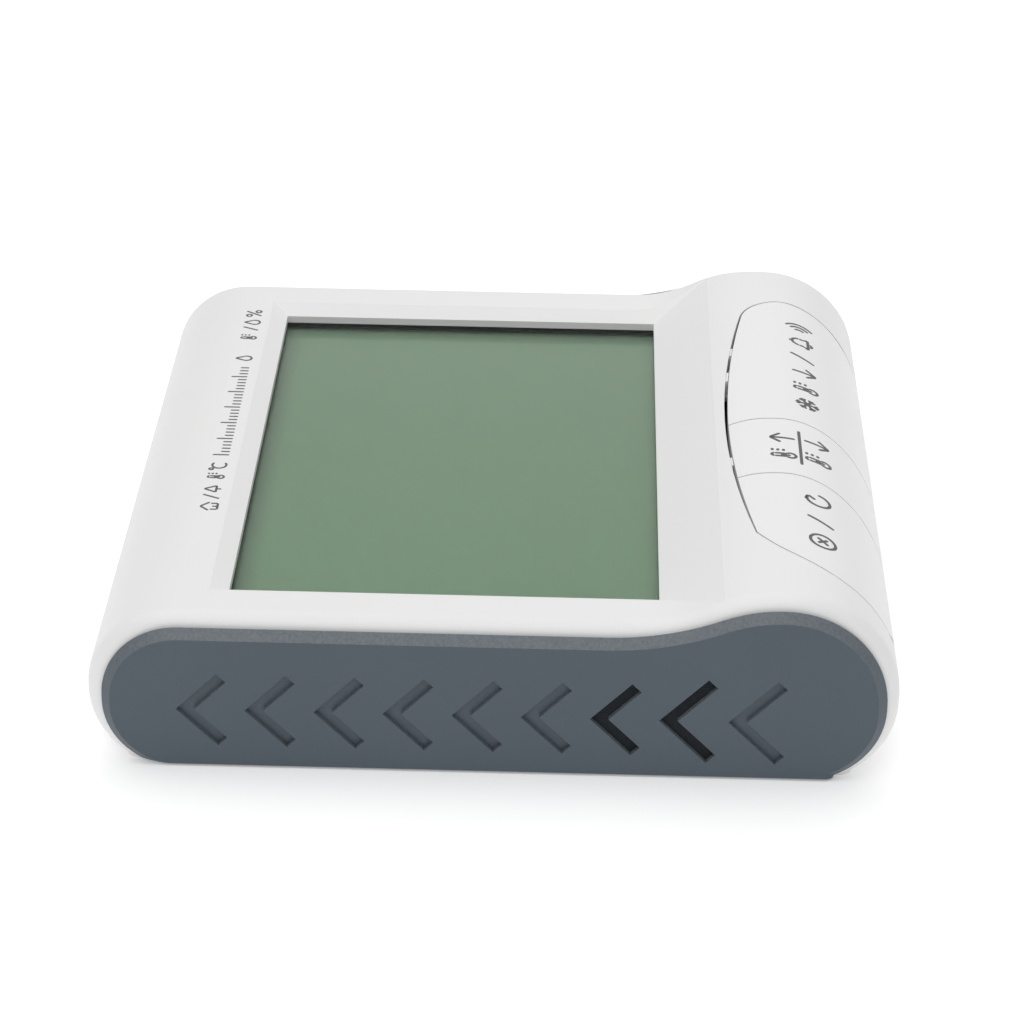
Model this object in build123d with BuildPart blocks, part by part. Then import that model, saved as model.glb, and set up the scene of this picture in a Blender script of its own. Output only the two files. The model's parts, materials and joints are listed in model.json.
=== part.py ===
from build123d import *
from math import asin, atan2, degrees
import os

# Digital maximum and minimum thermometer with an indoor humidity reading, lying on its back.
# Millimetres. +X runs across the face from the left side panel to the right one, +Y runs up the
# face towards its top end, and +Z comes out of the face. The origin is under the middle of the
# body, on the plane that the flat back rests on.

os.makedirs("parts", exist_ok=True)

# ---- driving dimensions -------------------------------------------------------------------------
WIDTH = 102.0           # over the two side panels
PANEL_T = 1.5           # side panel thickness
CASE_X = WIDTH / 2 - PANEL_T
TOP_END = 49.45         # the casing's top end, up the face from the origin
BOTTOM_END = 49.2       # its bottom end, down the face
FACE_Z = 20.0           # flat front face
CREST_Z = 24.1          # top of the hump that carries the keys
WALL = 2.0              # casing wall
LENS_DEPTH = 2.2        # from the face down to the top of the window lens
EDGE_R = 2.25           # rounding along the casing's side edges
PART_Z = 12.35          # height of the split between the two shells at mid length
PART_TILT = 1.8         # degrees; the split is higher at the top end
LIP = 1.2               # height of the tongue that closes the split
GAP = 0.1               # ordinary clearance between pieces that don't move
ABOVE_BASE = 0.35       # edges whose middle is lower than this belong to the flat back

# ---- levels of the stack under the face, from the glass down --------------------------------------
LENS_TOP = FACE_Z - LENS_DEPTH
LENS_T = 1.3
GASKET_T = 0.3
GLASS_T = 1.1           # each of the display's two glass plates
LCD_TOP = LENS_TOP - LENS_T - GASKET_T
LCD_BOTTOM = LCD_TOP - 2 * GLASS_T
FRAME_T = 2.1
BOARD_TOP = LCD_BOTTOM - FRAME_T
BOARD_T = 1.6
BOARD_BOTTOM = BOARD_TOP - BOARD_T

# ---- window and display ---------------------------------------------------------------------------
WIN_X = 40.3            # half of the window's width
WIN_Y = (-19.95, 32.7)  # lower and upper edge of the window
BEVEL_W = 2.2           # bevel around the window, seen from the front
BEVEL_D = 1.2
LENS_X = 41.9
LENS_Y = (-24.5, 34.8)
RING_T = 1.2            # wall of the ring that locates the lens and the display

# ---- keys -----------------------------------------------------------------------------------------
KEY_PLAN = (            # the opening's outline: x, y, and how each point moves as it grows by 1
    (-43.1, -50.0, -1.0, 0.0),
    (-39.0, -38.2, -0.77, 0.64),
    (-31.9, -31.8, -0.53, 0.93),
    (0.0, -28.85, 0.0, 1.0),
    (37.9, -32.9, 0.96, 0.82),
    (37.4, -40.5, 1.0, 0.0),
    (30.9, -50.0, 1.2, 0.0),
)
KEY_EDGE_Y = (-33.0, -28.85)                                # the room that its upper edge takes
DIVIDERS = (                                                # the two cuts between the keys
    ((-18.6, -26.0), (-15.9, -35.0), (-23.6, -50.0)),
    ((-3.1, -26.0), (-0.15, -35.8), (-7.3, -50.0)),
)
DIVIDER_W = 0.22
KEY_LEFT_CORNER = 3.5
KEY_RIGHT_CORNER = 6.8
KEY_FOOT_Z = 12.9       # lower edge of the opening, on the bottom end of the body
KEY_FOOT_X = (-43.4, 30.5)
KEY_SHOULDER = (38.4, 24.0)                                 # x and z where its right side starts to lean
KEY_GAP = 0.2
KEY_GAP_MID = 0.25      # the upper gap is wider than that by this much at its middle
RIB_X = ((-12.6, -10.4), (12.4, 15.0), (20.2, 22.4))        # centring ribs in the upper gap
RIB_GAP = 0.08
RIB_DEPTH = 0.2         # top of a rib below the casing's surface
KEY_TRAVEL = 0.6
KEY_T = 2.8
FLANGE = 0.9            # how far each key's flange reaches under the shell
FLANGE_GAPS = ((-26.0, -13.4), (-9.6, 11.6), (15.8, 19.4), (23.2, 29.0))    # none along these
DOME_Y = -37.0
DOME_X = {"clear": -27.5, "max_min": -8.5, "alert": 17.0}
MAT_T = 1.0
DOME_H = 2.6

# ---- side panels ----------------------------------------------------------------------------------
PANEL_BASE = 0.3
PANEL_RIM = 1.1        # bevel around the panel's outer face
PANEL_BACK = 0.3        # smaller bevel around its back, which leaves a fine groove beside the casing
CHEVRONS = 9
CHEVRON_TIP_Y = 38.4
CHEVRON_PITCH = 8.36
CHEVRON_Z = 8.07
CHEVRON_LEG = 5.03      # height and depth of one leg
CHEVRON_W = 1.6
CHEVRON_D = 0.7         # depth of a blind chevron
VENTS = (6, 7)          # these two are cut right through
BIG_FROM = 7            # from here on the chevrons are larger, as the hump gives them room
BIG = 1.16
PEG_R = 1.2
PEG_L = 1.8
PEGS = ((41.0, 9.0), (-8.0, 16.5), (-41.5, 9.0))

# ---- battery --------------------------------------------------------------------------------------
CELL_R = 5.25           # AAA
CELL_L = 44.5
CELL_Y = 33.0
CELL_Z = 7.05
CELL_X0 = -20.3         # negative end of the cell
BAY_X = 25.6
BAY_Y = (CELL_Y - 5.75, CELL_Y + 5.75)
BAY_TOP = 12.5
BAY_WALL = 0.9
DOOR_T = 1.45
DOOR_X = 26.6
DOOR_Y = (25.6, 45.6)
TONGUE = 1.0
TONGUE_Z = (0.85, DOOR_T)

# ---- stand ----------------------------------------------------------------------------------------
STAND_X = 20.0          # half width of the leg
HINGE_Y = -24.5
HINGE_Z = 2.0
BARREL_R = 1.75
PIN_R = 0.8
LEG_TIP_Y = 7.5
LEG_Z = (0.3, 2.5)
POCKET_Z = 4.0          # depth of the pocket that holds the folded leg

# ---- screws and posts -----------------------------------------------------------------------------
CASE_SCREWS = ((43.4, 37.8), (-43.4, 37.8), (44.6, -27.0), (-44.6, -27.0))
BOARD_SCREWS = ((32.0, -27.2), (-32.0, -27.2), (33.0, 38.4), (-33.0, 38.4))
CASE_BOSS_R = 2.4
CASE_BOSS_Z = 5.0
BOARD_BOSS_R = 2.2
SHANK_R = 0.95
PILOT_R = 1.0
HEAD_R = 1.9
HEAD_H = 1.3

# ---- probe socket, units switch, buzzer, hanging slot -----------------------------------------------
SOCKET_Y = 43.9
SOCKET_Z = 9.0
SOCKET_R = 1.3          # takes a 2.5 mm plug
SOCKET_L = 11.0
NOSE_R = 2.0
SWITCH_X = 33.0
SWITCH_Y = -6.0
SWITCH_TRAVEL = 2.0
BUZZER_X = -28.0
BUZZER_Y = -35.5
BUZZER_R = 6.0
BUZZER_H = 4.0
HOOK_Y = 14.5           # middle of the round part of the hanging slot
HOOK_R = 3.6
HOOK_SLOT_R = 1.9
HOOK_RUN = 6.0


def block(x, y, z, mode=Mode.ADD):
    """A box given by its lowest and highest x, y and z."""
    with Locations(((x[0] + x[1]) / 2, (y[0] + y[1]) / 2, (z[0] + z[1]) / 2)):
        Box(x[1] - x[0], y[1] - y[0], z[1] - z[0], mode=mode)


def post(x, y, z, radius, mode=Mode.ADD):
    """An upright cylinder from z[0] to z[1]."""
    with Locations((x, y, z[0])):
        Cylinder(radius, z[1] - z[0], align=(Align.CENTER, Align.CENTER, Align.MIN), mode=mode)


def bar(x, y, z, radius, mode=Mode.ADD):
    """A cylinder along X from x[0] to x[1]."""
    with Locations(Location(((x[0] + x[1]) / 2, y, z), (0, 90, 0))):
        Cylinder(radius, x[1] - x[0], mode=mode)


def body_outline(base, face, crest, ends, low, high_r, hump_r, foot, slope):
    """Side view of the body: flat back, round ends, flat face, and an S-curve up to the hump.

    low and foot are (radius, height of centre) of the lower arc at the top and the bottom end, and
    slope is (start, finish, share of the S-curve that is concave).
    """
    top, bottom = ends
    low_r, low_z = low
    foot_r, foot_z = foot
    low_reach = (low_r ** 2 - (low_z - base) ** 2) ** 0.5
    foot_reach = (foot_r ** 2 - (foot_z - base) ** 2) ** 0.5
    low_turn = degrees(asin((low_z - base) / low_r))
    foot_turn = degrees(asin((foot_z - base) / foot_r))
    step_y, crest_y, share = slope
    turn = (step_y + (crest_y - step_y) * share, face + (crest - face) * share)
    Line((-bottom + foot_r - foot_reach, base), (top - low_r + low_reach, base))
    CenterArc((top - low_r, low_z), low_r, -low_turn, low_turn)
    Line((top, low_z), (top, face - high_r))
    CenterArc((top - high_r, face - high_r), high_r, 0, 90)
    Line((top - high_r, face), (step_y, face))
    TangentArc((step_y, face), turn, tangent=(-1, 0))
    TangentArc((crest_y, crest), turn, tangent=(1, 0))
    Line((crest_y, crest), (-bottom + hump_r, crest))
    CenterArc((-bottom + hump_r, crest - hump_r), hump_r, 90, 90)
    Line((-bottom, crest - hump_r), (-bottom, foot_z))
    CenterArc((-bottom + foot_r, foot_z), foot_r, 180, foot_turn)


def case_outline():
    ends = (TOP_END, BOTTOM_END)
    body_outline(0, FACE_Z, CREST_Z, ends, (11.0, 8.8), 10.6, 13.6, (11.1, 9.3), (-17.0, -34.0, 0.5))


def panel_outline():
    ends = (TOP_END - 1.95, BOTTOM_END - 1.6)
    face, crest = FACE_Z - 1.2, CREST_Z - 1.15
    body_outline(PANEL_BASE, face, crest, ends, (9.2, 8.3), 9.6, 12.8, (10.1, 9.5), (-13.5, -34.5, 0.667))


def key_field(grow, foot_z, drop=0.0):
    """The room that the keys share, grown by `grow`, as an upright prism that stops at foot_z.

    The middle of its upper edge is moved down by `drop`.
    """
    with BuildPart() as field:
        with BuildSketch(Plane.XY.offset(foot_z)):
            points = [(x + dx * grow, y + dy * grow) for x, y, dx, dy in KEY_PLAN]
            points[3] = (points[3][0], points[3][1] - drop)
            with BuildLine():
                ThreePointArc(*points[0:3])
                ThreePointArc(*points[2:5])
                ThreePointArc(*points[4:7])
                Line(points[6], points[0])
            right_corner, left_corner = make_face().vertices().group_by(Axis.Y)[1:]
            fillet(right_corner, KEY_RIGHT_CORNER + grow)
            fillet(left_corner, KEY_LEFT_CORNER + grow)
        extrude(amount=20)
        with BuildSketch(Plane.XZ.offset(20)):
            left, right, shoulder = KEY_FOOT_X[0] - grow, KEY_FOOT_X[1] + grow, KEY_SHOULDER[0] + grow
            shoulder_z = KEY_SHOULDER[1] + foot_z - KEY_FOOT_Z
            with BuildLine():
                Polyline(
                    (left, 40),
                    (left, foot_z),
                    (right, foot_z),
                    (shoulder, shoulder_z),
                    (shoulder, 40),
                    close=True,
                )
            foot = make_face().vertices().group_by(Axis.Y)[0]
            fillet(foot, 5.0 + grow)
        extrude(amount=45, mode=Mode.INTERSECT)
    return field.part


def offset_body(inset, half_x):
    """The casing's side view drawn in by `inset` and run across from -half_x to half_x."""
    with BuildPart() as body:
        with BuildSketch(Plane.YZ):
            with BuildLine():
                case_outline()
            make_face()
            if inset > 0:
                offset(amount=-inset, kind=Kind.INTERSECTION)
        extrude(amount=half_x, both=True)
    return body.part


# ---- construction solids shared by the shells, the keys and the panels ----------------------------
with BuildPart() as case_block:
    with BuildSketch(Plane.YZ):
        with BuildLine():
            case_outline()
        make_face()
    extrude(amount=CASE_X, both=True)
    ends = case_block.faces().filter_by(Axis.X)
    fillet(ends.edges().filter_by_position(Axis.Z, ABOVE_BASE, CREST_Z), EDGE_R)

cavity = offset_body(WALL, CASE_X - WALL)
split_plane = Plane(origin=(0, 0, PART_Z), x_dir=(1, 0, 0), z_dir=Vector(0, 0, 1).rotate(Axis.X, PART_TILT))


def chevron(index):
    """One arrow of the side panel's row, as a face on YZ; its tip points up the face."""
    scale = BIG if index >= BIG_FROM else 1.0
    tip_y = CHEVRON_TIP_Y - index * CHEVRON_PITCH
    leg = CHEVRON_LEG * scale
    inner = CHEVRON_W * 2 ** 0.5
    Polyline(
        (tip_y, CHEVRON_Z),
        (tip_y - leg, CHEVRON_Z + leg),
        (tip_y - leg - inner / 2, CHEVRON_Z + leg - inner / 2),
        (tip_y - inner, CHEVRON_Z),
        (tip_y - leg - inner / 2, CHEVRON_Z - leg + inner / 2),
        (tip_y - leg, CHEVRON_Z - leg),
        close=True,
    )


def hump_stem(x, foot):
    """A cross-shaped stem from a key down to its rubber dome."""
    block((x - 2.5, x + 2.5), (DOME_Y - 0.6, DOME_Y + 0.6), (foot, CREST_Z - 1.5))
    block((x - 0.6, x + 0.6), (DOME_Y - 2.5, DOME_Y + 2.5), (foot, CREST_Z - 1.5))


# holes through both side walls of the casing: the vents, and the panels' peg holes
with BuildPart() as wall_holes:
    with BuildSketch(Plane.YZ.offset(CASE_X - WALL - 0.4)):
        for vent in VENTS:
            with BuildLine():
                chevron(vent)
            make_face()
    extrude(amount=WALL + 1)
    for peg_y, peg_z in PEGS:
        bar((CASE_X - PEG_L - 0.1, CASE_X + 0.5), peg_y, peg_z, PEG_R + 0.05)
    mirror(about=Plane.YZ)

# ---- front case -----------------------------------------------------------------------------------
ring_x = LENS_X + 0.15
ring_y = (LENS_Y[0] - 0.15, LENS_Y[1] + 0.35)
window_mid = (WIN_Y[0] + WIN_Y[1]) / 2
window_len = WIN_Y[1] - WIN_Y[0]
bevel_angle = degrees(atan2(BEVEL_W, BEVEL_D))
bevel_rise = CREST_Z - FACE_Z + BEVEL_D

with BuildPart() as front_inside:
    block((-ring_x - RING_T, ring_x + RING_T), (ring_y[0] - RING_T, ring_y[1] + RING_T), (LCD_BOTTOM, CREST_Z))
    block((-ring_x, ring_x), ring_y, (0, LENS_TOP), mode=Mode.SUBTRACT)
    for boss_x, boss_y in CASE_SCREWS:
        post(boss_x, boss_y, (CASE_BOSS_Z, CREST_Z), CASE_BOSS_R)
    for boss_x, boss_y in BOARD_SCREWS:
        post(boss_x, boss_y, (LCD_BOTTOM, CREST_Z), BOARD_BOSS_R)
    add(offset_body(1.0, CASE_X - 1.0), mode=Mode.INTERSECT)

with BuildPart() as key_ribs:
    for rib_x in RIB_X:
        block(rib_x, (KEY_EDGE_Y[0], KEY_EDGE_Y[1] + 0.5), (FACE_Z - WALL, CREST_Z))
    add(offset_body(RIB_DEPTH, CASE_X), mode=Mode.INTERSECT)
    add(cavity, mode=Mode.SUBTRACT)
    add(key_field(RIB_GAP - KEY_GAP, KEY_FOOT_Z, KEY_GAP_MID), mode=Mode.SUBTRACT)

with BuildPart() as front_case:
    add(case_block.part)
    add(cavity, mode=Mode.SUBTRACT)
    split(bisect_by=split_plane, keep=Keep.TOP)
    with BuildSketch(split_plane):
        Rectangle(2 * (CASE_X - 1.05), 2 * (BOTTOM_END - 2.05))
    extrude(amount=LIP + 0.1, mode=Mode.SUBTRACT)
    add(front_inside.part)
    with BuildSketch(Plane.XY.offset(FACE_Z - BEVEL_D)):
        with Locations((0, window_mid)):
            Rectangle(2 * WIN_X, window_len)
    extrude(amount=bevel_rise, taper=-bevel_angle, mode=Mode.SUBTRACT)
    block((-WIN_X, WIN_X), WIN_Y, (LENS_TOP - 1, FACE_Z), mode=Mode.SUBTRACT)
    add(key_field(0, KEY_FOOT_Z), mode=Mode.SUBTRACT)
    add(key_ribs.part)
    for boss_x, boss_y in CASE_SCREWS:
        post(boss_x, boss_y, (CASE_BOSS_Z - 1, FACE_Z - 4), PILOT_R, mode=Mode.SUBTRACT)
    for boss_x, boss_y in BOARD_SCREWS:
        post(boss_x, boss_y, (LCD_BOTTOM - 1, FACE_Z - 2.6), PILOT_R, mode=Mode.SUBTRACT)
    add(wall_holes.part, mode=Mode.SUBTRACT)
front_case.part.label = "front_case"
export_step(front_case.part, "parts/front_case.step")

# ---- rear case ------------------------------------------------------------------------------------
bay_x = BAY_X + BAY_WALL
bay_y = (BAY_Y[0] - BAY_WALL, BAY_Y[1] + BAY_WALL)
socket_x = (CASE_X - WALL - SOCKET_L + 1.0, CASE_X - WALL - GAP)
pocket_y = (HINGE_Y - 2.4, LEG_TIP_Y + 0.6)

with BuildPart() as rear_inside:
    block((-bay_x, bay_x), bay_y, (0, BAY_TOP + BAY_WALL))
    block((-DOOR_X - 2.2, DOOR_X + 2.2), (DOOR_Y[0] - 1.4, TOP_END), (0, 2.6))
    block((-STAND_X - 5.2, STAND_X + 5.2), (pocket_y[0] - 1.2, pocket_y[1] + 1.2), (0, POCKET_Z + 1.0))
    block((-HOOK_R - 1.9, HOOK_R + 1.9), (HOOK_Y - HOOK_R - 1.4, HOOK_Y + HOOK_RUN + 3.4), (0, 6.4))
    for boss_x, boss_y in CASE_SCREWS:
        post(boss_x, boss_y, (0, CASE_BOSS_Z - GAP), CASE_BOSS_R + 0.4)
    for post_x in (-38.0, 38.0):
        post(post_x, 4.5, (0, BOARD_BOTTOM), 2.0)
        post(post_x, -40.0, (0, BOARD_BOTTOM), 2.0)
    block((socket_x[0] - 1.3, CASE_X - 1), (SOCKET_Y - 3.5, SOCKET_Y + 2.6), (0, SOCKET_Z))
    add(offset_body(1.0, CASE_X - 1.0), mode=Mode.INTERSECT)

with BuildPart() as rear_case:
    add(case_block.part)
    add(cavity, mode=Mode.SUBTRACT)
    split(bisect_by=split_plane, keep=Keep.BOTTOM)
    with BuildSketch(split_plane.offset(-1.0)):
        Rectangle(2 * (CASE_X - 1.1), 2 * (BOTTOM_END - 2.1))
        Rectangle(2 * (CASE_X - WALL), 2 * (BOTTOM_END - 3.0), mode=Mode.SUBTRACT)
    extrude(amount=1.0 + LIP)
    add(rear_inside.part)
    # battery bay, and the door's bed with a slot along each side, open at the top end of the body
    block((-BAY_X, BAY_X), BAY_Y, (-1, BAY_TOP), mode=Mode.SUBTRACT)
    block((-DOOR_X - 0.1, DOOR_X + 0.1), (DOOR_Y[0] - 0.1, TOP_END), (-1, DOOR_T + 0.1), mode=Mode.SUBTRACT)
    block(
        (-DOOR_X - TONGUE - 0.1, DOOR_X + TONGUE + 0.1),
        (DOOR_Y[0] - 0.1, TOP_END),
        (TONGUE_Z[0] - 0.1, DOOR_T + 0.1),
        mode=Mode.SUBTRACT,
    )
    # stand pocket: leg bed, finger notch, and a hole for the pin on both sides
    block((-STAND_X - 0.3, STAND_X + 0.3), (pocket_y[0], pocket_y[1]), (-1, POCKET_Z), mode=Mode.SUBTRACT)
    block((-6, 6), (LEG_TIP_Y, LEG_TIP_Y + 2.6), (-1, 1.6), mode=Mode.SUBTRACT)
    bar((-STAND_X - 3.0, STAND_X + 3.0), HINGE_Y, HINGE_Z, PIN_R + 0.01, mode=Mode.SUBTRACT)
    # hanging slot with a closed pocket behind it
    post(0, HOOK_Y, (-1, 1.6), HOOK_R, mode=Mode.SUBTRACT)
    with BuildSketch(Plane.XY.offset(-1)):
        with Locations((0, HOOK_Y + HOOK_RUN / 2)):
            SlotCenterToCenter(HOOK_RUN, 2 * HOOK_SLOT_R, rotation=90)
    extrude(amount=3, mode=Mode.SUBTRACT)
    block((-HOOK_R - 0.6, HOOK_R + 0.6), (HOOK_Y - HOOK_R, HOOK_Y + HOOK_RUN + 2.2), (1.5, 5.4), mode=Mode.SUBTRACT)
    # case screws
    for boss_x, boss_y in CASE_SCREWS:
        post(boss_x, boss_y, (-1, CASE_BOSS_Z + 1), PILOT_R + 0.2, mode=Mode.SUBTRACT)
        post(boss_x, boss_y, (-1, 2.6), HEAD_R + 0.2, mode=Mode.SUBTRACT)
    # bed of the probe socket, and its hole through the side wall
    block((socket_x[0], socket_x[1] + GAP), (SOCKET_Y - 2.6, SOCKET_Y + 2.6), (SOCKET_Z - 2.6, 20), mode=Mode.SUBTRACT)
    bar((socket_x[1] - 1, WIDTH), SOCKET_Y, SOCKET_Z, NOSE_R + 0.1, mode=Mode.SUBTRACT)
    bar((socket_x[0] - 2, socket_x[0] + 1), SOCKET_Y, SOCKET_Z, 0.8, mode=Mode.SUBTRACT)
    # units switch slot and the buzzer's three sound holes
    block((SWITCH_X - 3.6, SWITCH_X + 3.6), (SWITCH_Y - 2.2, SWITCH_Y + 2.2), (-1, 1.0), mode=Mode.SUBTRACT)
    block((SWITCH_X - 2.4, SWITCH_X + 2.4), (SWITCH_Y - 1.2, SWITCH_Y + 1.2), (0, 3), mode=Mode.SUBTRACT)
    with Locations((BUZZER_X, BUZZER_Y, 0)):
        with PolarLocations(2.2, 3):
            Cylinder(0.7, 8, mode=Mode.SUBTRACT)
    add(wall_holes.part, mode=Mode.SUBTRACT)
rear_case.part.label = "rear_case"
export_step(rear_case.part, "parts/rear_case.step")

# ---- side panels ----------------------------------------------------------------------------------
with BuildPart() as panel_blank:
    with BuildSketch(Plane.YZ.offset(CASE_X)):
        with BuildLine():
            panel_outline()
        make_face()
    extrude(amount=PANEL_T)
    back, front = panel_blank.faces().filter_by(Axis.X).sort_by(Axis.X)
    chamfer(back.edges().filter_by_position(Axis.Z, ABOVE_BASE, CREST_Z), PANEL_BACK)
    chamfer(front.edges().filter_by_position(Axis.Z, ABOVE_BASE, CREST_Z), PANEL_RIM)
    with BuildSketch(Plane.YZ.offset(CASE_X + PANEL_T - CHEVRON_D)):
        for index in range(CHEVRONS):
            with BuildLine():
                chevron(index)
            make_face()
    extrude(amount=2, mode=Mode.SUBTRACT)
    with BuildSketch(Plane.YZ.offset(CASE_X - 1)):
        for vent in VENTS:
            with BuildLine():
                chevron(vent)
            make_face()
    extrude(amount=4, mode=Mode.SUBTRACT)
    for peg_y, peg_z in PEGS:
        bar((CASE_X - PEG_L, CASE_X + 0.2), peg_y, peg_z, PEG_R)

with BuildPart() as left_side_panel:
    add(panel_blank.part.mirror(Plane.YZ))
left_side_panel.part.label = "left_side_panel"
export_step(left_side_panel.part, "parts/left_side_panel.step")

# the right panel also has the hole that the probe's plug goes through
with BuildPart() as right_side_panel:
    add(panel_blank.part)
    bar((CASE_X - 3, WIDTH), SOCKET_Y, SOCKET_Z, NOSE_R + 0.1, mode=Mode.SUBTRACT)
right_side_panel.part.label = "right_side_panel"
export_step(right_side_panel.part, "parts/right_side_panel.step")

# ---- window lens, gasket and display ----------------------------------------------------------------
with BuildPart() as window_lens:
    block((-LENS_X, LENS_X), LENS_Y, (LENS_TOP - LENS_T, LENS_TOP))
    fillet(window_lens.edges().filter_by(Axis.Z), 0.8)
    chamfer(window_lens.faces().sort_by(Axis.Z)[0].edges(), 0.2)
window_lens.part.label = "window_lens"
export_step(window_lens.part, "parts/window_lens.step")

with BuildPart() as lens_gasket:
    block((-LENS_X, LENS_X), LENS_Y, (LCD_TOP, LCD_TOP + GASKET_T))
    block((-WIN_X - 0.6, WIN_X + 0.6), (WIN_Y[0] - 0.5, WIN_Y[1] + 0.5), (0, 30), mode=Mode.SUBTRACT)
lens_gasket.part.label = "lens_gasket"
export_step(lens_gasket.part, "parts/lens_gasket.step")

# two glass plates; the front one reaches further down the face, where its contacts are
with BuildPart() as lcd_panel:
    block((-LENS_X + 0.2, LENS_X - 0.2), (LENS_Y[0] + 0.1, LENS_Y[1] - 0.1), (LCD_TOP - GLASS_T, LCD_TOP))
    block((-LENS_X + 0.2, LENS_X - 0.2), (LENS_Y[0] + 2.8, LENS_Y[1] - 0.1), (LCD_BOTTOM, LCD_TOP - GLASS_T))
lcd_panel.part.label = "lcd_panel"
export_step(lcd_panel.part, "parts/lcd_panel.step")

# ---- display frame: carries the display, aligns the contact strip, and screws to the front case ----
strip_y = (LENS_Y[0] + 0.3, LENS_Y[0] + 2.3)
with BuildPart() as lcd_frame:
    block((-ring_x - RING_T, ring_x + RING_T), (ring_y[0] - RING_T, ring_y[1] + RING_T), (BOARD_TOP, LCD_BOTTOM))
    for ear_x, ear_y in BOARD_SCREWS:
        post(ear_x, ear_y, (BOARD_TOP, LCD_BOTTOM), 3.0)
        block((ear_x - 3, ear_x + 3), tuple(sorted((ear_y, ear_y * 0.9))), (BOARD_TOP, LCD_BOTTOM))
    block((-36, 36), (-18, 40.2 - 9), (0, 30), mode=Mode.SUBTRACT)
    block((-38.1, 38.1), (strip_y[0] - 0.05, strip_y[1] + 0.05), (0, 30), mode=Mode.SUBTRACT)
    block((-bay_x - 0.6, bay_x + 0.6), (20, 50), (0, 30), mode=Mode.SUBTRACT)
    for ear_x, ear_y in BOARD_SCREWS:
        post(ear_x, ear_y, (0, 30), PILOT_R + 0.15, mode=Mode.SUBTRACT)
    for boss_x, boss_y in CASE_SCREWS:
        post(boss_x, boss_y, (0, 30), CASE_BOSS_R + 0.2, mode=Mode.SUBTRACT)
lcd_frame.part.label = "lcd_frame"
export_step(lcd_frame.part, "parts/lcd_frame.step")

with BuildPart() as contact_strip:
    block((-38.0, 38.0), strip_y, (BOARD_TOP, LCD_TOP - GLASS_T))
contact_strip.part.label = "contact_strip"
export_step(contact_strip.part, "parts/contact_strip.step")

# ---- main board and what is soldered to it ----------------------------------------------------------
with BuildPart() as main_board:
    block((-40.5, 40.5), (-44.0, 8.0), (BOARD_BOTTOM, BOARD_TOP))
    fillet(main_board.edges().filter_by(Axis.Z), 2.0)
    for ear_x, ear_y in BOARD_SCREWS[:2]:
        post(ear_x, ear_y, (0, 30), PILOT_R + 0.15, mode=Mode.SUBTRACT)
main_board.part.label = "main_board"
export_step(main_board.part, "parts/main_board.step")

with BuildPart() as controller_cap:
    with Locations((-4.0, -7.0, BOARD_TOP - 12.0)):
        Sphere(13.9)
    block((-11, 3), (-15, 1), (BOARD_TOP, BOARD_TOP + 1.7), mode=Mode.INTERSECT)
controller_cap.part.label = "controller_cap"
export_step(controller_cap.part, "parts/controller_cap.step")

with BuildPart() as board_parts:
    for column in range(6):
        block((-22 + column * 3.2, -20.4 + column * 3.2), (1.0, 3.6), (BOARD_TOP, BOARD_TOP + 0.6))
    for row in range(4):
        block((10, 12.6), (-14 + row * 3.0, -12.4 + row * 3.0), (BOARD_TOP, BOARD_TOP + 0.8))
board_parts.part.label = "board_parts"
export_step(board_parts.part, "parts/board_parts.step")

with BuildPart() as crystal:
    bar((16.0, 22.0), -2.0, BOARD_TOP + 1.0, 1.0)
    fillet(crystal.faces().sort_by(Axis.X)[-1].edges(), 0.3)
crystal.part.label = "crystal"
export_step(crystal.part, "parts/crystal.step")

with BuildPart() as humidity_sensor:
    block((-40.0, -35.0), (-24.0, -14.0), (BOARD_BOTTOM - 2.0, BOARD_BOTTOM))
    for slot_index in range(4):
        slot_y = -22.5 + slot_index * 2.2
        block((-39.0, -36.0), (slot_y, slot_y + 0.9), (BOARD_BOTTOM - 3, BOARD_BOTTOM - 1.2), mode=Mode.SUBTRACT)
humidity_sensor.part.label = "humidity_sensor"
export_step(humidity_sensor.part, "parts/humidity_sensor.step")

with BuildPart() as indoor_thermistor:
    post(-37.5, -10.0, (BOARD_BOTTOM - 4.4, BOARD_BOTTOM - 2.0), 1.2)
    fillet(indoor_thermistor.edges().filter_by(GeomType.CIRCLE), 1.0)
    for leg_x in (-38.0, -37.0):
        post(leg_x, -10.0, (BOARD_BOTTOM - 2.4, BOARD_BOTTOM), 0.25)
indoor_thermistor.part.label = "indoor_thermistor"
export_step(indoor_thermistor.part, "parts/indoor_thermistor.step")

with BuildPart() as alarm_buzzer:
    post(BUZZER_X, BUZZER_Y, (BOARD_BOTTOM - BUZZER_H, BOARD_BOTTOM), BUZZER_R)
    fillet(alarm_buzzer.faces().sort_by(Axis.Z)[0].edges(), 0.4)
    post(BUZZER_X, BUZZER_Y, (BOARD_BOTTOM - BUZZER_H - 1, BOARD_BOTTOM - 1), 1.2, mode=Mode.SUBTRACT)
alarm_buzzer.part.label = "alarm_buzzer"
export_step(alarm_buzzer.part, "parts/alarm_buzzer.step")

# ---- keys -----------------------------------------------------------------------------------------
# two curved cuts divide the shared opening into three keys


def key_strip(left, right):
    """Plan of the room between two dividers; None stands for the end of the key field."""
    far_left = ((-WIDTH / 2, -26), (-WIDTH / 2 - 0.5, -35), (-WIDTH / 2, -50))
    far_right = ((WIDTH / 2, -26), (WIDTH / 2 + 0.5, -35), (WIDTH / 2, -50))
    start = DIVIDERS[left] if left is not None else far_left
    stop = DIVIDERS[right] if right is not None else far_right
    a = [(x + DIVIDER_W / 2, y) for x, y in start]
    b = [(x - DIVIDER_W / 2, y) for x, y in stop]
    ThreePointArc(*a)
    Line(a[2], b[2])
    ThreePointArc(*b)
    Line(b[0], a[0])


key_inner = offset_body(KEY_T, CASE_X)
key_shape = key_field(-KEY_GAP, KEY_FOOT_Z + KEY_TRAVEL + 0.15, KEY_GAP_MID)

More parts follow.
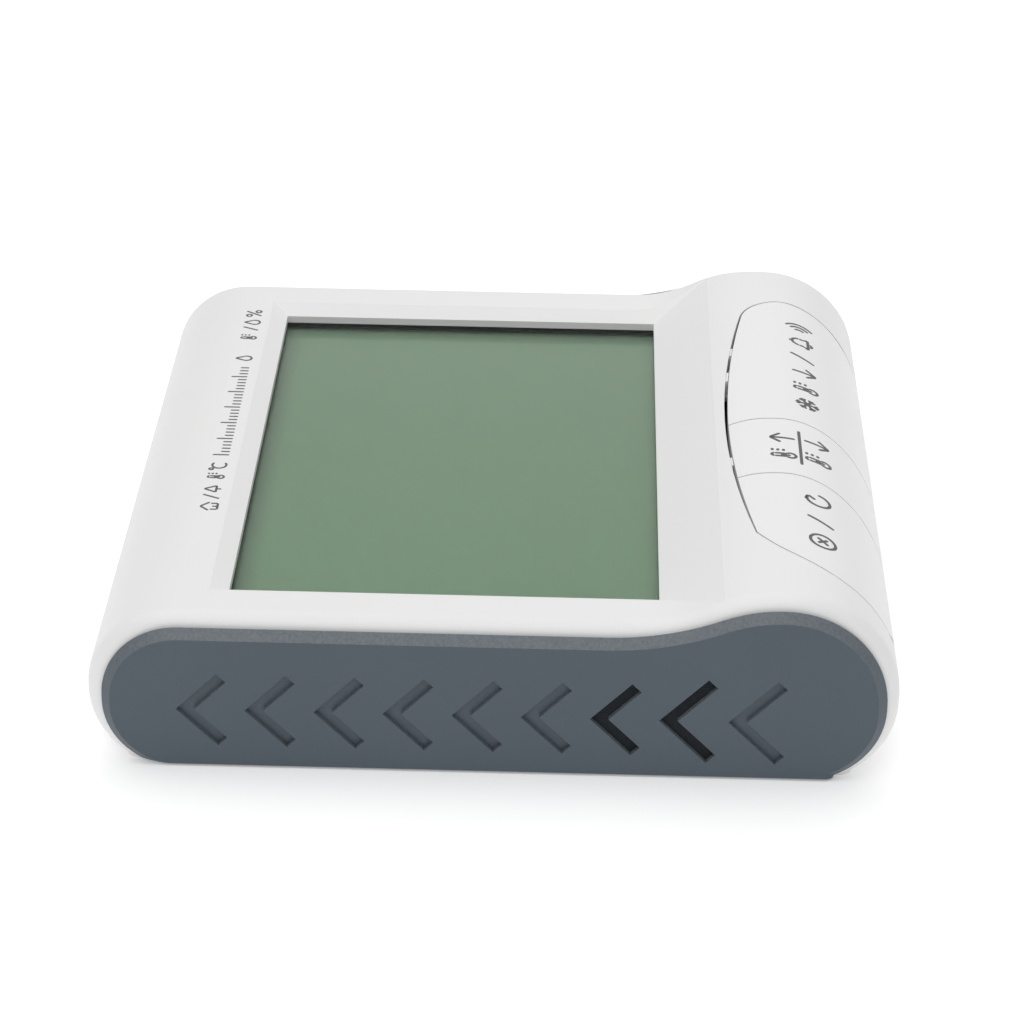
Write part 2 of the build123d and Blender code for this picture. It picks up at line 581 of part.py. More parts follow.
# flange that keeps the keys under the shell; it is left out along most of the upper edge
with BuildPart() as flange:
    add(offset_body(WALL + 0.15, CASE_X - WALL - 0.5))
    add(key_field(FLANGE, KEY_FOOT_Z - 0.05), mode=Mode.INTERSECT)
    for flange_gap in FLANGE_GAPS:
        block(flange_gap, (KEY_EDGE_Y[0] - 1, KEY_EDGE_Y[1] + 2), (0, CREST_Z), mode=Mode.SUBTRACT)


def make_key(left, right, dome_x):
    """One key: cap flush with the hump, flange under the shell, and a stem down to its dome."""
    with BuildPart() as strip:
        with BuildSketch():
            with BuildLine():
                key_strip(left, right)
            make_face()
        extrude(amount=40)
    with BuildPart() as key:
        add(case_block.part)
        add(key_shape, mode=Mode.INTERSECT)
        add(flange.part)
        add(key_inner, mode=Mode.SUBTRACT)
        hump_stem(dome_x, BOARD_TOP + MAT_T + DOME_H + 0.02)
        add(strip.part, mode=Mode.INTERSECT)
    return key.part


clear_key = make_key(None, 0, DOME_X["clear"])
clear_key.label = "clear_key"
export_step(clear_key, "parts/clear_key.step")

max_min_key = make_key(0, 1, DOME_X["max_min"])
max_min_key.label = "max_min_key"
export_step(max_min_key, "parts/max_min_key.step")

alert_key = make_key(1, None, DOME_X["alert"])
alert_key.label = "alert_key"
export_step(alert_key, "parts/alert_key.step")

# ---- rubber key sheet and its domes -----------------------------------------------------------------
with BuildPart() as key_sheet:
    block((-36.0, 27.0), (-42.5, -31.5), (BOARD_TOP, BOARD_TOP + MAT_T))
    fillet(key_sheet.edges().filter_by(Axis.Z), 1.5)
    for dome_x in DOME_X.values():
        post(dome_x, DOME_Y, (0, 30), 2.6, mode=Mode.SUBTRACT)
key_sheet.part.label = "key_sheet"
export_step(key_sheet.part, "parts/key_sheet.step")


def make_dome(dome_x):
    """A rubber dome with a flat top and a carbon pill inside, as one cone with a hollow foot."""
    with BuildPart() as dome:
        with Locations((dome_x, DOME_Y, BOARD_TOP + MAT_T)):
            Cone(3.6, 2.2, DOME_H, align=(Align.CENTER, Align.CENTER, Align.MIN))
            Cone(2.9, 1.5, DOME_H - 0.8, align=(Align.CENTER, Align.CENTER, Align.MIN), mode=Mode.SUBTRACT)
    return dome.part


clear_dome = make_dome(DOME_X["clear"])
clear_dome.label = "clear_dome"
export_step(clear_dome, "parts/clear_dome.step")

max_min_dome = make_dome(DOME_X["max_min"])
max_min_dome.label = "max_min_dome"
export_step(max_min_dome, "parts/max_min_dome.step")

alert_dome = make_dome(DOME_X["alert"])
alert_dome.label = "alert_dome"
export_step(alert_dome, "parts/alert_dome.step")

# ---- battery cell, contacts and door ----------------------------------------------------------------
with BuildPart() as battery_cell:
    bar((CELL_X0, CELL_X0 + CELL_L - 1.0), CELL_Y, CELL_Z, CELL_R)
    fillet(battery_cell.edges(), 0.5)
    bar((CELL_X0 + CELL_L - 1.2, CELL_X0 + CELL_L), CELL_Y, CELL_Z, 1.9)
battery_cell.part.label = "battery_cell"
export_step(battery_cell.part, "parts/battery_cell.step")

with BuildPart() as negative_spring:
    with BuildLine() as coil:
        Helix(
            pitch=1.3,
            height=CELL_X0 + BAY_X - 0.9,
            radius=3.4,
            center=(-BAY_X + 0.6, CELL_Y, CELL_Z),
            direction=(1, 0, 0),
            cone_angle=-12,
        )
    with BuildSketch(Plane(origin=coil.line @ 0, z_dir=coil.line % 0)):
        Circle(0.3)
    sweep(path=coil.line)
    block((-BAY_X, -BAY_X + 0.5), (CELL_Y - 4.5, CELL_Y + 4.5), (CELL_Z - 4.0, CELL_Z + 4.0))
negative_spring.part.label = "negative_spring"
export_step(negative_spring.part, "parts/negative_spring.step")

with BuildPart() as positive_contact:
    block((BAY_X - 0.4, BAY_X), (CELL_Y - 4.5, CELL_Y + 4.5), (CELL_Z - 4.0, CELL_Z + 4.0))
    bar((CELL_X0 + CELL_L, BAY_X - 0.4), CELL_Y, CELL_Z, 2.0)
positive_contact.part.label = "positive_contact"
export_step(positive_contact.part, "parts/positive_contact.step")

with BuildPart() as battery_door:
    add(case_block.part)
    block((-DOOR_X, DOOR_X), DOOR_Y, (-1, DOOR_T), mode=Mode.INTERSECT)
    block((-DOOR_X - TONGUE, DOOR_X + TONGUE), (DOOR_Y[0], DOOR_Y[1] - 2.2), TONGUE_Z)
    # thumb grooves near the end that is pushed
    for groove in range(4):
        groove_y = 33.0 + groove * 1.8
        block((-8, 8), (groove_y, groove_y + 0.8), (-1, 0.35), mode=Mode.SUBTRACT)
battery_door.part.label = "battery_door"
export_step(battery_door.part, "parts/battery_door.step")

# ---- stand: a framed leg with a round barrel, on a steel pin ----------------------------------------
with BuildPart() as stand_leg:
    block((-STAND_X, STAND_X), (HINGE_Y, LEG_TIP_Y), LEG_Z)
    fillet(stand_leg.edges().filter_by(Axis.Z).group_by(Axis.Y)[-1], 4.0)
    bar((-STAND_X, STAND_X), HINGE_Y, HINGE_Z, BARREL_R)
    # two shallow panels between the ribs, on the side that shows when the leg is folded
    with BuildSketch(Plane.XY.offset(LEG_Z[0])):
        with Locations((-9.2, -7.0), (9.2, -7.0)):
            RectangleRounded(15.6, 22.0, 1.5)
    extrude(amount=0.7, mode=Mode.SUBTRACT)
    bar((-STAND_X - 1, STAND_X + 1), HINGE_Y, HINGE_Z, PIN_R + 0.05, mode=Mode.SUBTRACT)
stand_leg.part.label = "stand_leg"
export_step(stand_leg.part, "parts/stand_leg.step")

with BuildPart() as stand_pin:
    bar((-STAND_X - 2.9, STAND_X + 2.9), HINGE_Y, HINGE_Z, PIN_R)
    chamfer(stand_pin.edges(), 0.15)
stand_pin.part.label = "stand_pin"
export_step(stand_pin.part, "parts/stand_pin.step")

# ---- units slide switch under the board --------------------------------------------------------------
with BuildPart() as units_switch:
    block((SWITCH_X - 4.5, SWITCH_X + 4.5), (SWITCH_Y - 2.0, SWITCH_Y + 2.0), (BOARD_BOTTOM - 3.6, BOARD_BOTTOM))
    block((SWITCH_X - 2.3, SWITCH_X + 2.3), (SWITCH_Y - 0.9, SWITCH_Y + 0.9), (0, BOARD_BOTTOM - 1.2), mode=Mode.SUBTRACT)
units_switch.part.label = "units_switch"
export_step(units_switch.part, "parts/units_switch.step")

knob_x = SWITCH_X - SWITCH_TRAVEL / 2
with BuildPart() as units_knob:
    block((knob_x - 1.0, knob_x + 1.0), (SWITCH_Y - 0.8, SWITCH_Y + 0.8), (0.3, BOARD_BOTTOM - 1.3))
    for groove in (-0.5, 0.1):
        block((knob_x + groove, knob_x + groove + 0.4), (SWITCH_Y - 2, SWITCH_Y + 2), (0, 0.6), mode=Mode.SUBTRACT)
units_knob.part.label = "units_knob"
export_step(units_knob.part, "parts/units_knob.step")

# ---- probe socket, with its plug hole out through the right panel ------------------------------------
with BuildPart() as probe_socket:
    block(socket_x, (SOCKET_Y - 2.5, SOCKET_Y + 2.5), (SOCKET_Z - 2.5, SOCKET_Z + 2.5))
    bar((socket_x[1], CASE_X + PANEL_T - 0.6), SOCKET_Y, SOCKET_Z, NOSE_R)
    bar((CASE_X + PANEL_T - 0.6 - SOCKET_L, WIDTH), SOCKET_Y, SOCKET_Z, SOCKET_R, mode=Mode.SUBTRACT)
probe_socket.part.label = "probe_socket"
export_step(probe_socket.part, "parts/probe_socket.step")

# ---- leads inside the case: straight runs joined by bends --------------------------------------------


def lead(points, bend, radius=0.55):
    """An insulated lead through the given points."""
    with BuildPart() as wire:
        with BuildLine() as route:
            FilletPolyline(*points, radius=bend)
        with BuildSketch(Plane(origin=route.line @ 0, z_dir=route.line % 0)):
            Circle(radius)
        sweep(path=route.line)
    return wire.part


lead_top = BOARD_BOTTOM - 0.02
lead_x = 30.6
battery_lead_red = lead(
    ((bay_x + 0.02, 32, 7), (lead_x, 32, 7), (lead_x, 6, 5), (lead_x, 3, 6), (lead_x, 3, lead_top)), 1.4
)
battery_lead_red.label = "battery_lead_red"
export_step(battery_lead_red, "parts/battery_lead_red.step")

battery_lead_black = lead(
    ((-bay_x - 0.02, 32, 7), (-lead_x, 32, 7), (-lead_x, 6, 5), (-lead_x, 3, 6), (-lead_x, 3, lead_top)), 1.4
)
battery_lead_black.label = "battery_lead_black"
export_step(battery_lead_black, "parts/battery_lead_black.step")

probe_x = 33.4
probe_lead = lead(
    (
        (socket_x[0] - 0.02, SOCKET_Y, SOCKET_Z),
        (probe_x, SOCKET_Y, SOCKET_Z),
        (probe_x, SOCKET_Y, 4.6),
        (probe_x, 0.5, 4.6),
        (probe_x, 0.5, lead_top),
    ),
    1.4,
)
probe_lead.label = "probe_lead"
export_step(probe_lead, "parts/probe_lead.step")

# ---- screws -------------------------------------------------------------------------------------------
with BuildPart() as case_screws:
    for screw_x, screw_y in CASE_SCREWS:
        post(screw_x, screw_y, (2.6 - HEAD_H, 2.6), HEAD_R)
        post(screw_x, screw_y, (2.6, 12.0), SHANK_R)
        block((screw_x - 1.2, screw_x + 1.2), (screw_y - 0.25, screw_y + 0.25), (1.0, 2.0), mode=Mode.SUBTRACT)
        block((screw_x - 0.25, screw_x + 0.25), (screw_y - 1.2, screw_y + 1.2), (1.0, 2.0), mode=Mode.SUBTRACT)
case_screws.part.label = "case_screws"
export_step(case_screws.part, "parts/case_screws.step")

with BuildPart() as board_screws:
    for index, (screw_x, screw_y) in enumerate(BOARD_SCREWS):
        seat = BOARD_BOTTOM if index < 2 else BOARD_TOP
        post(screw_x, screw_y, (seat - HEAD_H, seat), HEAD_R)
        post(screw_x, screw_y, (seat, FACE_Z - 3.0), SHANK_R)
        block((screw_x - 1.2, screw_x + 1.2), (screw_y - 0.25, screw_y + 0.25), (seat - 2, seat - 0.6), mode=Mode.SUBTRACT)
        block((screw_x - 0.25, screw_x + 0.25), (screw_y - 1.2, screw_y + 1.2), (seat - 2, seat - 0.6), mode=Mode.SUBTRACT)
board_screws.part.label = "board_screws"
export_step(board_screws.part, "parts/board_screws.step")
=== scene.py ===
# %% [markdown]
# # A maximum and minimum thermometer, finished in Blender
#
# The casing, keys, panels, stand and battery door come from the CAD model, at their real size.
# This lesson gives them their surfaces: moulded plastic with a fine spark grain, a clear lens over
# a grey-green display, and printed marks. Everything is in metres, in the CAD model's own frame:
# +X across the face, +Y up the face, +Z out of it.

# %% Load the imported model
import json
import math

import bmesh
import bpy
from mathutils import Matrix, Vector
from mathutils.bvhtree import BVHTree


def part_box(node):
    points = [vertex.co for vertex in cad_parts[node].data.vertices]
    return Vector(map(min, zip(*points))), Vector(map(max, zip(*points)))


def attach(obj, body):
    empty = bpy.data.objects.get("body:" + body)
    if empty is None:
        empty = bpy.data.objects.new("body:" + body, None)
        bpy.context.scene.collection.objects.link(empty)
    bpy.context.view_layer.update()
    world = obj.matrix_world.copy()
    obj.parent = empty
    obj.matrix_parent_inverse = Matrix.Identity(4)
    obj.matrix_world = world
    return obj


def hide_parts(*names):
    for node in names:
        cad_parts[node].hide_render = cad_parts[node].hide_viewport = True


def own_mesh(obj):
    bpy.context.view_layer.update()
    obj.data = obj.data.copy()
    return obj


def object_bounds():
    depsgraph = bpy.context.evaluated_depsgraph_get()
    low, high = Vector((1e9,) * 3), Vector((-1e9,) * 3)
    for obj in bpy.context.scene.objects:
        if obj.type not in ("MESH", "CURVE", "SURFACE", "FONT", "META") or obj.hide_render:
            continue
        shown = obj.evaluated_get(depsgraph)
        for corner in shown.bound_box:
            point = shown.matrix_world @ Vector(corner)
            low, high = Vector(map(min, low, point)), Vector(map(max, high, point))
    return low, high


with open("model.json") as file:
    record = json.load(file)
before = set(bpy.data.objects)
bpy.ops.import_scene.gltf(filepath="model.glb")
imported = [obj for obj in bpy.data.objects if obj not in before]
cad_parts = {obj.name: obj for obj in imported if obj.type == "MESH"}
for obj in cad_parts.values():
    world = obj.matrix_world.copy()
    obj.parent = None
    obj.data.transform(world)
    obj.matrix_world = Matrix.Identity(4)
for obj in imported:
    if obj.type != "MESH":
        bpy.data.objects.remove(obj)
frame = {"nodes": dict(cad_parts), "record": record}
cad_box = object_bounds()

nodes = frame["nodes"]
MM = 0.001

# %% [markdown]
# ## The camera
#
# The view is that of a long lens from the left side of the thermometer, from above at 28 degrees.
# A camera could be aimed with a Track To constraint, but its roll would then be lost. Here its axes
# are worked out from three angles, which keeps the slight roll and leaves nothing to solve later.

# %% Camera at the given viewing angle
VIEW_TURN = math.radians(1.330)
VIEW_RISE = math.radians(27.919)
VIEW_ROLL = math.radians(0.713)
VIEW_DISTANCE = 443.21 * MM
VIEW_TARGET = Vector((-0.37, -0.88, 9.30)) * MM
LENS_LENGTH = 116.09

flat = math.cos(VIEW_RISE)
towards_camera = Vector((-math.cos(VIEW_TURN) * flat, -math.sin(VIEW_TURN) * flat, math.sin(VIEW_RISE)))
right = (-towards_camera).cross(Vector((0, 0, 1))).normalized()
up = right.cross(-towards_camera)
rolled_right = right * math.cos(VIEW_ROLL) + up * math.sin(VIEW_ROLL)
rolled_up = up * math.cos(VIEW_ROLL) - right * math.sin(VIEW_ROLL)

camera_data = bpy.data.cameras.new("camera")
camera_data.lens = LENS_LENGTH
camera_data.sensor_width = 36.0
camera_data.clip_start = 0.01
camera = bpy.data.objects.new("camera", camera_data)
camera.matrix_world = Matrix.Translation(VIEW_TARGET + towards_camera * VIEW_DISTANCE) @ Matrix(
    (rolled_right, rolled_up, towards_camera)
).transposed().to_4x4()
bpy.context.scene.collection.objects.link(camera)
bpy.context.scene.camera = camera
print("camera at", [round(c, 4) for c in camera.location])

# %% [markdown]
# ## Soft studio light
#
# A white object on white needs light from everywhere and a little less of it from the sides, so
# that its edges still read. A pale world gives the even part. Large area lights give the gloss
# something to reflect: one above the face, and weaker ones towards the camera and behind.

# %% World and lights
WORLD_STRENGTH = 0.54
world = bpy.data.worlds.new("pale studio")
world.use_nodes = True
world.node_tree.nodes["Background"].inputs["Color"].default_value = (1.0, 1.0, 1.0, 1.0)
world.node_tree.nodes["Background"].inputs["Strength"].default_value = WORLD_STRENGTH
bpy.context.scene.world = world
bpy.context.scene.view_settings.view_transform = "Standard"


def area_light(name, place, aim, size, power):
    """A square area light at `place` that points at `aim`; sizes in metres, power in watts."""
    data = bpy.data.lights.new(name, "AREA")
    data.size = size
    data.energy = power
    light = bpy.data.objects.new(name, data)
    light.location = place
    light.rotation_euler = (Vector(aim) - Vector(place)).to_track_quat("-Z", "Y").to_euler()
    bpy.context.scene.collection.objects.link(light)
    return light


middle = (cad_box[0] + cad_box[1]) / 2
for name, offset, size, power in (
    ("light_top", (0.05, 0.05, 0.7), 0.8, 2.25),
    ("light_camera_side", (-0.55, 0.2, 0.75), 0.6, 1.15),
    ("light_far_side", (0.7, -0.2, 0.5), 0.7, 0.7),
):
    area_light(name, middle + Vector(offset), middle, size, power)

# %% [markdown]
# ## The floor
#
# The floor isn't part of the object. It is a wide pale sheet just under the thermometer's back.
# Seen from below it is clear, so that the back can be looked at too: Backfacing is the geometry's
# own answer to which side of the sheet the light meets. A weak glow keeps it white near the object.

# %% Pale floor
FLOOR_HALF = 3.0
FLOOR_DROP = 0.05 * MM
FLOOR_GLOW = 0.22
floor_mesh = bpy.data.meshes.new("floor")
corners = [(x * FLOOR_HALF, y * FLOOR_HALF, 0) for x, y in ((-1, -1), (1, -1), (1, 1), (-1, 1))]
floor_mesh.from_pydata(corners, [], [(0, 1, 2, 3)])
floor = bpy.data.objects.new("floor", floor_mesh)
floor.location.z = cad_box[0].z - FLOOR_DROP
bpy.context.scene.collection.objects.link(floor)

floor_material = bpy.data.materials.new("pale floor")
floor_material.use_nodes = True
tree = floor_material.node_tree
shader = tree.nodes["Principled BSDF"]
shader.inputs["Base Color"].default_value = (0.95, 0.95, 0.95, 1.0)
shader.inputs["Roughness"].default_value = 0.9
shader.inputs["Specular IOR Level"].default_value = 0.1
shader.inputs["Emission Color"].default_value = (1.0, 1.0, 1.0, 1.0)
shader.inputs["Emission Strength"].default_value = FLOOR_GLOW
clear = tree.nodes.new("ShaderNodeBsdfTransparent")
sides = tree.nodes.new("ShaderNodeNewGeometry")
mix = tree.nodes.new("ShaderNodeMixShader")
tree.links.new(sides.outputs["Backfacing"], mix.inputs["Fac"])
tree.links.new(shader.outputs["BSDF"], mix.inputs[1])
tree.links.new(clear.outputs["BSDF"], mix.inputs[2])
tree.links.new(mix.outputs["Shader"], tree.nodes["Material Output"].inputs["Surface"])
floor_mesh.materials.append(floor_material)
print("floor at", round(floor.location.z / MM, 2), "mm")

# %% [markdown]
# ## Moulded grain, used by every plastic
#
# Steel moulds are spark-eroded, and that leaves a fine pebbled skin on the plastic. The grain is a
# node group, so each plastic can have its own size and depth of it. It gives a colour that varies a
# little, a roughness that varies with it, and a height for a Bump node. The shader stays in the
# material, because the group only makes values.

# %% Node group: moulded grain
def group_socket(group, name, kind, out=False, default=None):
    """Adds one named input or output to a node group."""
    socket = group.interface.new_socket(name=name, in_out="OUTPUT" if out else "INPUT", socket_type=kind)
    if default is not None:
        socket.default_value = default
    return socket


def new_group(name):
    """An empty shader node group with its two end nodes."""
    group = bpy.data.node_groups.new(name, "ShaderNodeTree")
    start = group.nodes.new("NodeGroupInput")
    end = group.nodes.new("NodeGroupOutput")
    return group, start, end


def math_node(group, operation, a, b):
    """A Math node; a and b are sockets or plain numbers."""
    node = group.nodes.new("ShaderNodeMath")
    node.operation = operation
    for index, value in enumerate((a, b)):
        if isinstance(value, (int, float)):
            node.inputs[index].default_value = value
        else:
            group.links.new(value, node.inputs[index])
    return node.outputs[0]


grain_group, grain_in, grain_out = new_group("moulded grain")
group_socket(grain_group, "Colour", "NodeSocketColor", default=(0.8, 0.8, 0.8, 1.0))
group_socket(grain_group, "Shade", "NodeSocketColor", default=(0.7, 0.7, 0.7, 1.0))
group_socket(grain_group, "Grain per metre", "NodeSocketFloat", default=6000.0)
group_socket(grain_group, "Roughness", "NodeSocketFloat", default=0.4)
group_socket(grain_group, "Roughness spread", "NodeSocketFloat", default=0.08)
group_socket(grain_group, "Colour", "NodeSocketColor", out=True)
group_socket(grain_group, "Roughness", "NodeSocketFloat", out=True)
group_socket(grain_group, "Height", "NodeSocketFloat", out=True)

place = grain_group.nodes.new("ShaderNodeTexCoord")
pebbles = grain_group.nodes.new("ShaderNodeTexNoise")
pebbles.inputs["Detail"].default_value = 3.0
grain_group.links.new(place.outputs["Object"], pebbles.inputs["Vector"])
grain_group.links.new(grain_in.outputs["Grain per metre"], pebbles.inputs["Scale"])
clouds = grain_group.nodes.new("ShaderNodeTexNoise")
clouds.inputs["Scale"].default_value = 60.0
clouds.inputs["Detail"].default_value = 4.0
grain_group.links.new(place.outputs["Object"], clouds.inputs["Vector"])
blend = math_node(
    grain_group,
    "ADD",
    math_node(grain_group, "MULTIPLY", clouds.outputs[0], 0.6),
    math_node(grain_group, "MULTIPLY", pebbles.outputs[0], 0.4),
)
colour_mix = grain_group.nodes.new("ShaderNodeMix")
colour_mix.data_type = "RGBA"
grain_group.links.new(blend, colour_mix.inputs[0])
grain_group.links.new(grain_in.outputs["Colour"], colour_mix.inputs[6])
grain_group.links.new(grain_in.outputs["Shade"], colour_mix.inputs[7])
swing = math_node(grain_group, "SUBTRACT", blend, 0.5)
rough = math_node(
    grain_group,
    "ADD",
    grain_in.outputs["Roughness"],
    math_node(grain_group, "MULTIPLY", swing, grain_in.outputs["Roughness spread"]),
)
grain_group.links.new(colour_mix.outputs[2], grain_out.inputs["Colour"])
grain_group.links.new(rough, grain_out.inputs["Roughness"])
grain_group.links.new(pebbles.outputs[0], grain_out.inputs["Height"])
print("grain group sockets", len(grain_group.interface.items_tree))

# %% [markdown]
# ## Dust with painted top light, and drawn metal
#
# Two more effects are shared. Dust settles on what faces up, so its mask is the surface's own upward
# lean times a fine noise; the same mask paints light from above, so whatever faces up comes out lighter.
# Drawn metal has streaks along one direction, which is a noise stretched along that direction. Both are
# groups with named inputs, so that each finish sets its own amount.

# %% Node group: settled dust and painted top light
dust_and_top_light_group, dust_and_top_light_in, dust_and_top_light_out = new_group("settled dust and painted top light")
group_socket(dust_and_top_light_group, "Colour", "NodeSocketColor", default=(0.1, 0.1, 0.1, 1.0))
group_socket(dust_and_top_light_group, "Amount", "NodeSocketFloat", default=0.2)
group_socket(dust_and_top_light_group, "Colour", "NodeSocketColor", out=True)
lean = dust_and_top_light_group.nodes.new("ShaderNodeSeparateXYZ")
dust_and_top_light_group.links.new(dust_and_top_light_group.nodes.new("ShaderNodeNewGeometry").outputs["Normal"], lean.inputs[0])
dust_and_top_light_noise = dust_and_top_light_group.nodes.new("ShaderNodeTexNoise")
dust_and_top_light_noise.inputs["Scale"].default_value = 2600.0
dust_and_top_light_noise.inputs["Detail"].default_value = 5.0
dust_and_top_light_group.links.new(dust_and_top_light_group.nodes.new("ShaderNodeTexCoord").outputs["Object"], dust_and_top_light_noise.inputs["Vector"])
# Dust and painted light from above: the colour lightens where the surface faces up.
upward = math_node(dust_and_top_light_group, "MAXIMUM", lean.outputs["Z"], 0.0)
speckle = math_node(dust_and_top_light_group, "MULTIPLY", upward, dust_and_top_light_noise.outputs[0])
dust_and_top_light_mask = math_node(dust_and_top_light_group, "MULTIPLY", speckle, dust_and_top_light_in.outputs["Amount"])
dust_and_top_light_mix = dust_and_top_light_group.nodes.new("ShaderNodeMix")
dust_and_top_light_mix.data_type = "RGBA"
dust_and_top_light_group.links.new(dust_and_top_light_mask, dust_and_top_light_mix.inputs[0])
dust_and_top_light_group.links.new(dust_and_top_light_in.outputs["Colour"], dust_and_top_light_mix.inputs[6])
dust_and_top_light_mix.inputs[7].default_value = (0.55, 0.55, 0.53, 1.0)
dust_and_top_light_group.links.new(dust_and_top_light_mix.outputs[2], dust_and_top_light_out.inputs["Colour"])

print("dust sockets", len(dust_and_top_light_group.interface.items_tree))

# %% Node group: drawn metal
drawn_group, drawn_in, drawn_out = new_group("drawn metal")
group_socket(drawn_group, "Colour", "NodeSocketColor", default=(0.6, 0.6, 0.6, 1.0))
group_socket(drawn_group, "Roughness", "NodeSocketFloat", default=0.3)
group_socket(drawn_group, "Stretch", "NodeSocketVector", default=(200.0, 6000.0, 6000.0))
group_socket(drawn_group, "Colour", "NodeSocketColor", out=True)
group_socket(drawn_group, "Roughness", "NodeSocketFloat", out=True)
group_socket(drawn_group, "Height", "NodeSocketFloat", out=True)
stretched = drawn_group.nodes.new("ShaderNodeVectorMath")
stretched.operation = "MULTIPLY"
drawn_group.links.new(drawn_group.nodes.new("ShaderNodeTexCoord").outputs["Object"], stretched.inputs[0])
drawn_group.links.new(drawn_in.outputs["Stretch"], stretched.inputs[1])
streaks = drawn_group.nodes.new("ShaderNodeTexNoise")
streaks.inputs["Scale"].default_value = 1.0
streaks.inputs["Detail"].default_value = 3.0
drawn_group.links.new(stretched.outputs[0], streaks.inputs["Vector"])
dull = drawn_group.nodes.new("ShaderNodeMix")
dull.data_type = "RGBA"
drawn_group.links.new(math_node(drawn_group, "MULTIPLY", streaks.outputs[0], 0.5), dull.inputs[0])
drawn_group.links.new(drawn_in.outputs["Colour"], dull.inputs[6])
dull.inputs[7].default_value = (0.25, 0.25, 0.25, 1.0)
drawn_group.links.new(dull.outputs[2], drawn_out.inputs["Colour"])
streak_rough = math_node(drawn_group, "MULTIPLY", streaks.outputs[0], 0.15)
drawn_rough = math_node(drawn_group, "ADD", drawn_in.outputs["Roughness"], streak_rough)
drawn_group.links.new(drawn_rough, drawn_out.inputs["Roughness"])
drawn_group.links.new(streaks.outputs[0], drawn_out.inputs["Height"])
print("groups", [group.name for group in bpy.data.node_groups])

# %% [markdown]
# ## The plastics
#
# Each moulded part is the same recipe with its own numbers, so one function makes them all. The
# colour goes from a base to a slightly different shade over broad clouds, as the melt does. Dark
# parts also carry a little dust with painted light from above, which lightens what faces up.

# %% Helpers for every material
def new_material(name):
    """A material with its node tree and its shader."""
    material = bpy.data.materials.new(name)
    material.use_nodes = True
    return material, material.node_tree, material.node_tree.nodes["Principled BSDF"]


def group_node(tree, group, **values):
    """Places a node group in a material; underscores in the names stand for spaces."""
    node = tree.nodes.new("ShaderNodeGroup")
    node.node_tree = group
    for key, value in values.items():
        node.inputs[key.replace("_", " ")].default_value = value
    return node


def raise_surface(tree, shader, height, distance):
    """A Bump node between a height and the shader's normal; distance in millimetres."""
    bump = tree.nodes.new("ShaderNodeBump")
    bump.inputs["Distance"].default_value = distance * MM
    tree.links.new(height, bump.inputs["Height"])
    tree.links.new(bump.outputs["Normal"], shader.inputs["Normal"])


print("helpers", new_material.__name__, group_node.__name__, raise_surface.__name__)

# %% A moulded plastic
def moulded(
    name, colour, shade, roughness, spread=0.1, grain=7000.0, depth=0.012, dust_and_top_light=0.0, coat=0.0
):
    """A moulded plastic; depth is the grain's height in millimetres."""
    material, tree, shader = new_material(name)
    grain_node = group_node(
        tree,
        grain_group,
        Colour=(*colour, 1.0),
        Shade=(*shade, 1.0),
        Grain_per_metre=grain,
        Roughness=roughness,
        Roughness_spread=spread,
    )
    raise_surface(tree, shader, grain_node.outputs["Height"], depth)
    dust_and_top_light_node = group_node(tree, dust_and_top_light_group, Amount=dust_and_top_light)
    tree.links.new(grain_node.outputs["Colour"], dust_and_top_light_node.inputs["Colour"])
    tree.links.new(dust_and_top_light_node.outputs["Colour"], shader.inputs["Base Color"])
    tree.links.new(grain_node.outputs["Roughness"], shader.inputs["Roughness"])
    shader.inputs["IOR"].default_value = 1.5
    shader.inputs["Coat Weight"].default_value = coat
    return material


# %% Every plastic, rubber and epoxy
white_shell = moulded("white shell", (0.83, 0.83, 0.825), (0.80, 0.80, 0.80), 0.42)
white_key = moulded("white key", (0.84, 0.84, 0.835), (0.82, 0.82, 0.82), 0.38)
# The grey panel's dust amount also paints light from above onto its upward-facing rim, making it lighter.
grey_panel = moulded(
    "grey panel", (0.075, 0.100, 0.122), (0.062, 0.084, 0.105), 0.5, grain=5000.0, depth=0.02, dust_and_top_light=0.35
)
white_frame = moulded("white frame", (0.78, 0.78, 0.76), (0.74, 0.74, 0.73), 0.5)
black_foam = moulded("black foam", (0.015, 0.015, 0.018), (0.03, 0.03, 0.03), 0.9, grain=2500.0, depth=0.05)
black_plastic = moulded("black plastic", (0.02, 0.02, 0.022), (0.032, 0.032, 0.033), 0.42, dust_and_top_light=0.12)
socket_plastic = moulded(
    "socket plastic", (0.012, 0.012, 0.013), (0.02, 0.02, 0.02), 0.3, dust_and_top_light=0.05, coat=0.2
)
epoxy = moulded(
    "black epoxy", (0.012, 0.012, 0.012), (0.02, 0.02, 0.022), 0.22, grain=1500.0, depth=0.03, coat=0.5
)
rubber = moulded("key rubber", (0.34, 0.35, 0.36), (0.30, 0.31, 0.32), 0.62, grain=3500.0, dust_and_top_light=0.2)
ceramic = moulded("sensor shell", (0.72, 0.72, 0.68), (0.66, 0.66, 0.62), 0.55, grain=9000.0)
part_brown = moulded("part body", (0.16, 0.085, 0.05), (0.11, 0.06, 0.04), 0.4, grain=9000.0)
red_sheath = moulded("red sheath", (0.45, 0.02, 0.02), (0.38, 0.015, 0.015), 0.35, depth=0.006, coat=0.15)
black_sheath = moulded(
    "black sheath", (0.016, 0.016, 0.017), (0.024, 0.024, 0.024), 0.35, depth=0.006, coat=0.15
)
# Near-black painted shade for the open chevrons, with a coarse weave grain.
vent_shade_sheet = moulded(
    "vent shade sheet", (0.014, 0.018, 0.023), (0.020, 0.024, 0.030), 0.95, grain=1800.0, depth=0.08
)
print("materials", len(bpy.data.materials))

# %% [markdown]
# ## Metals
#
# The screws, pins and battery contacts are plated steel, and the crystal has a drawn tin can.
# Metallic is one plain number on the shader; only the colour, roughness and streaks vary.

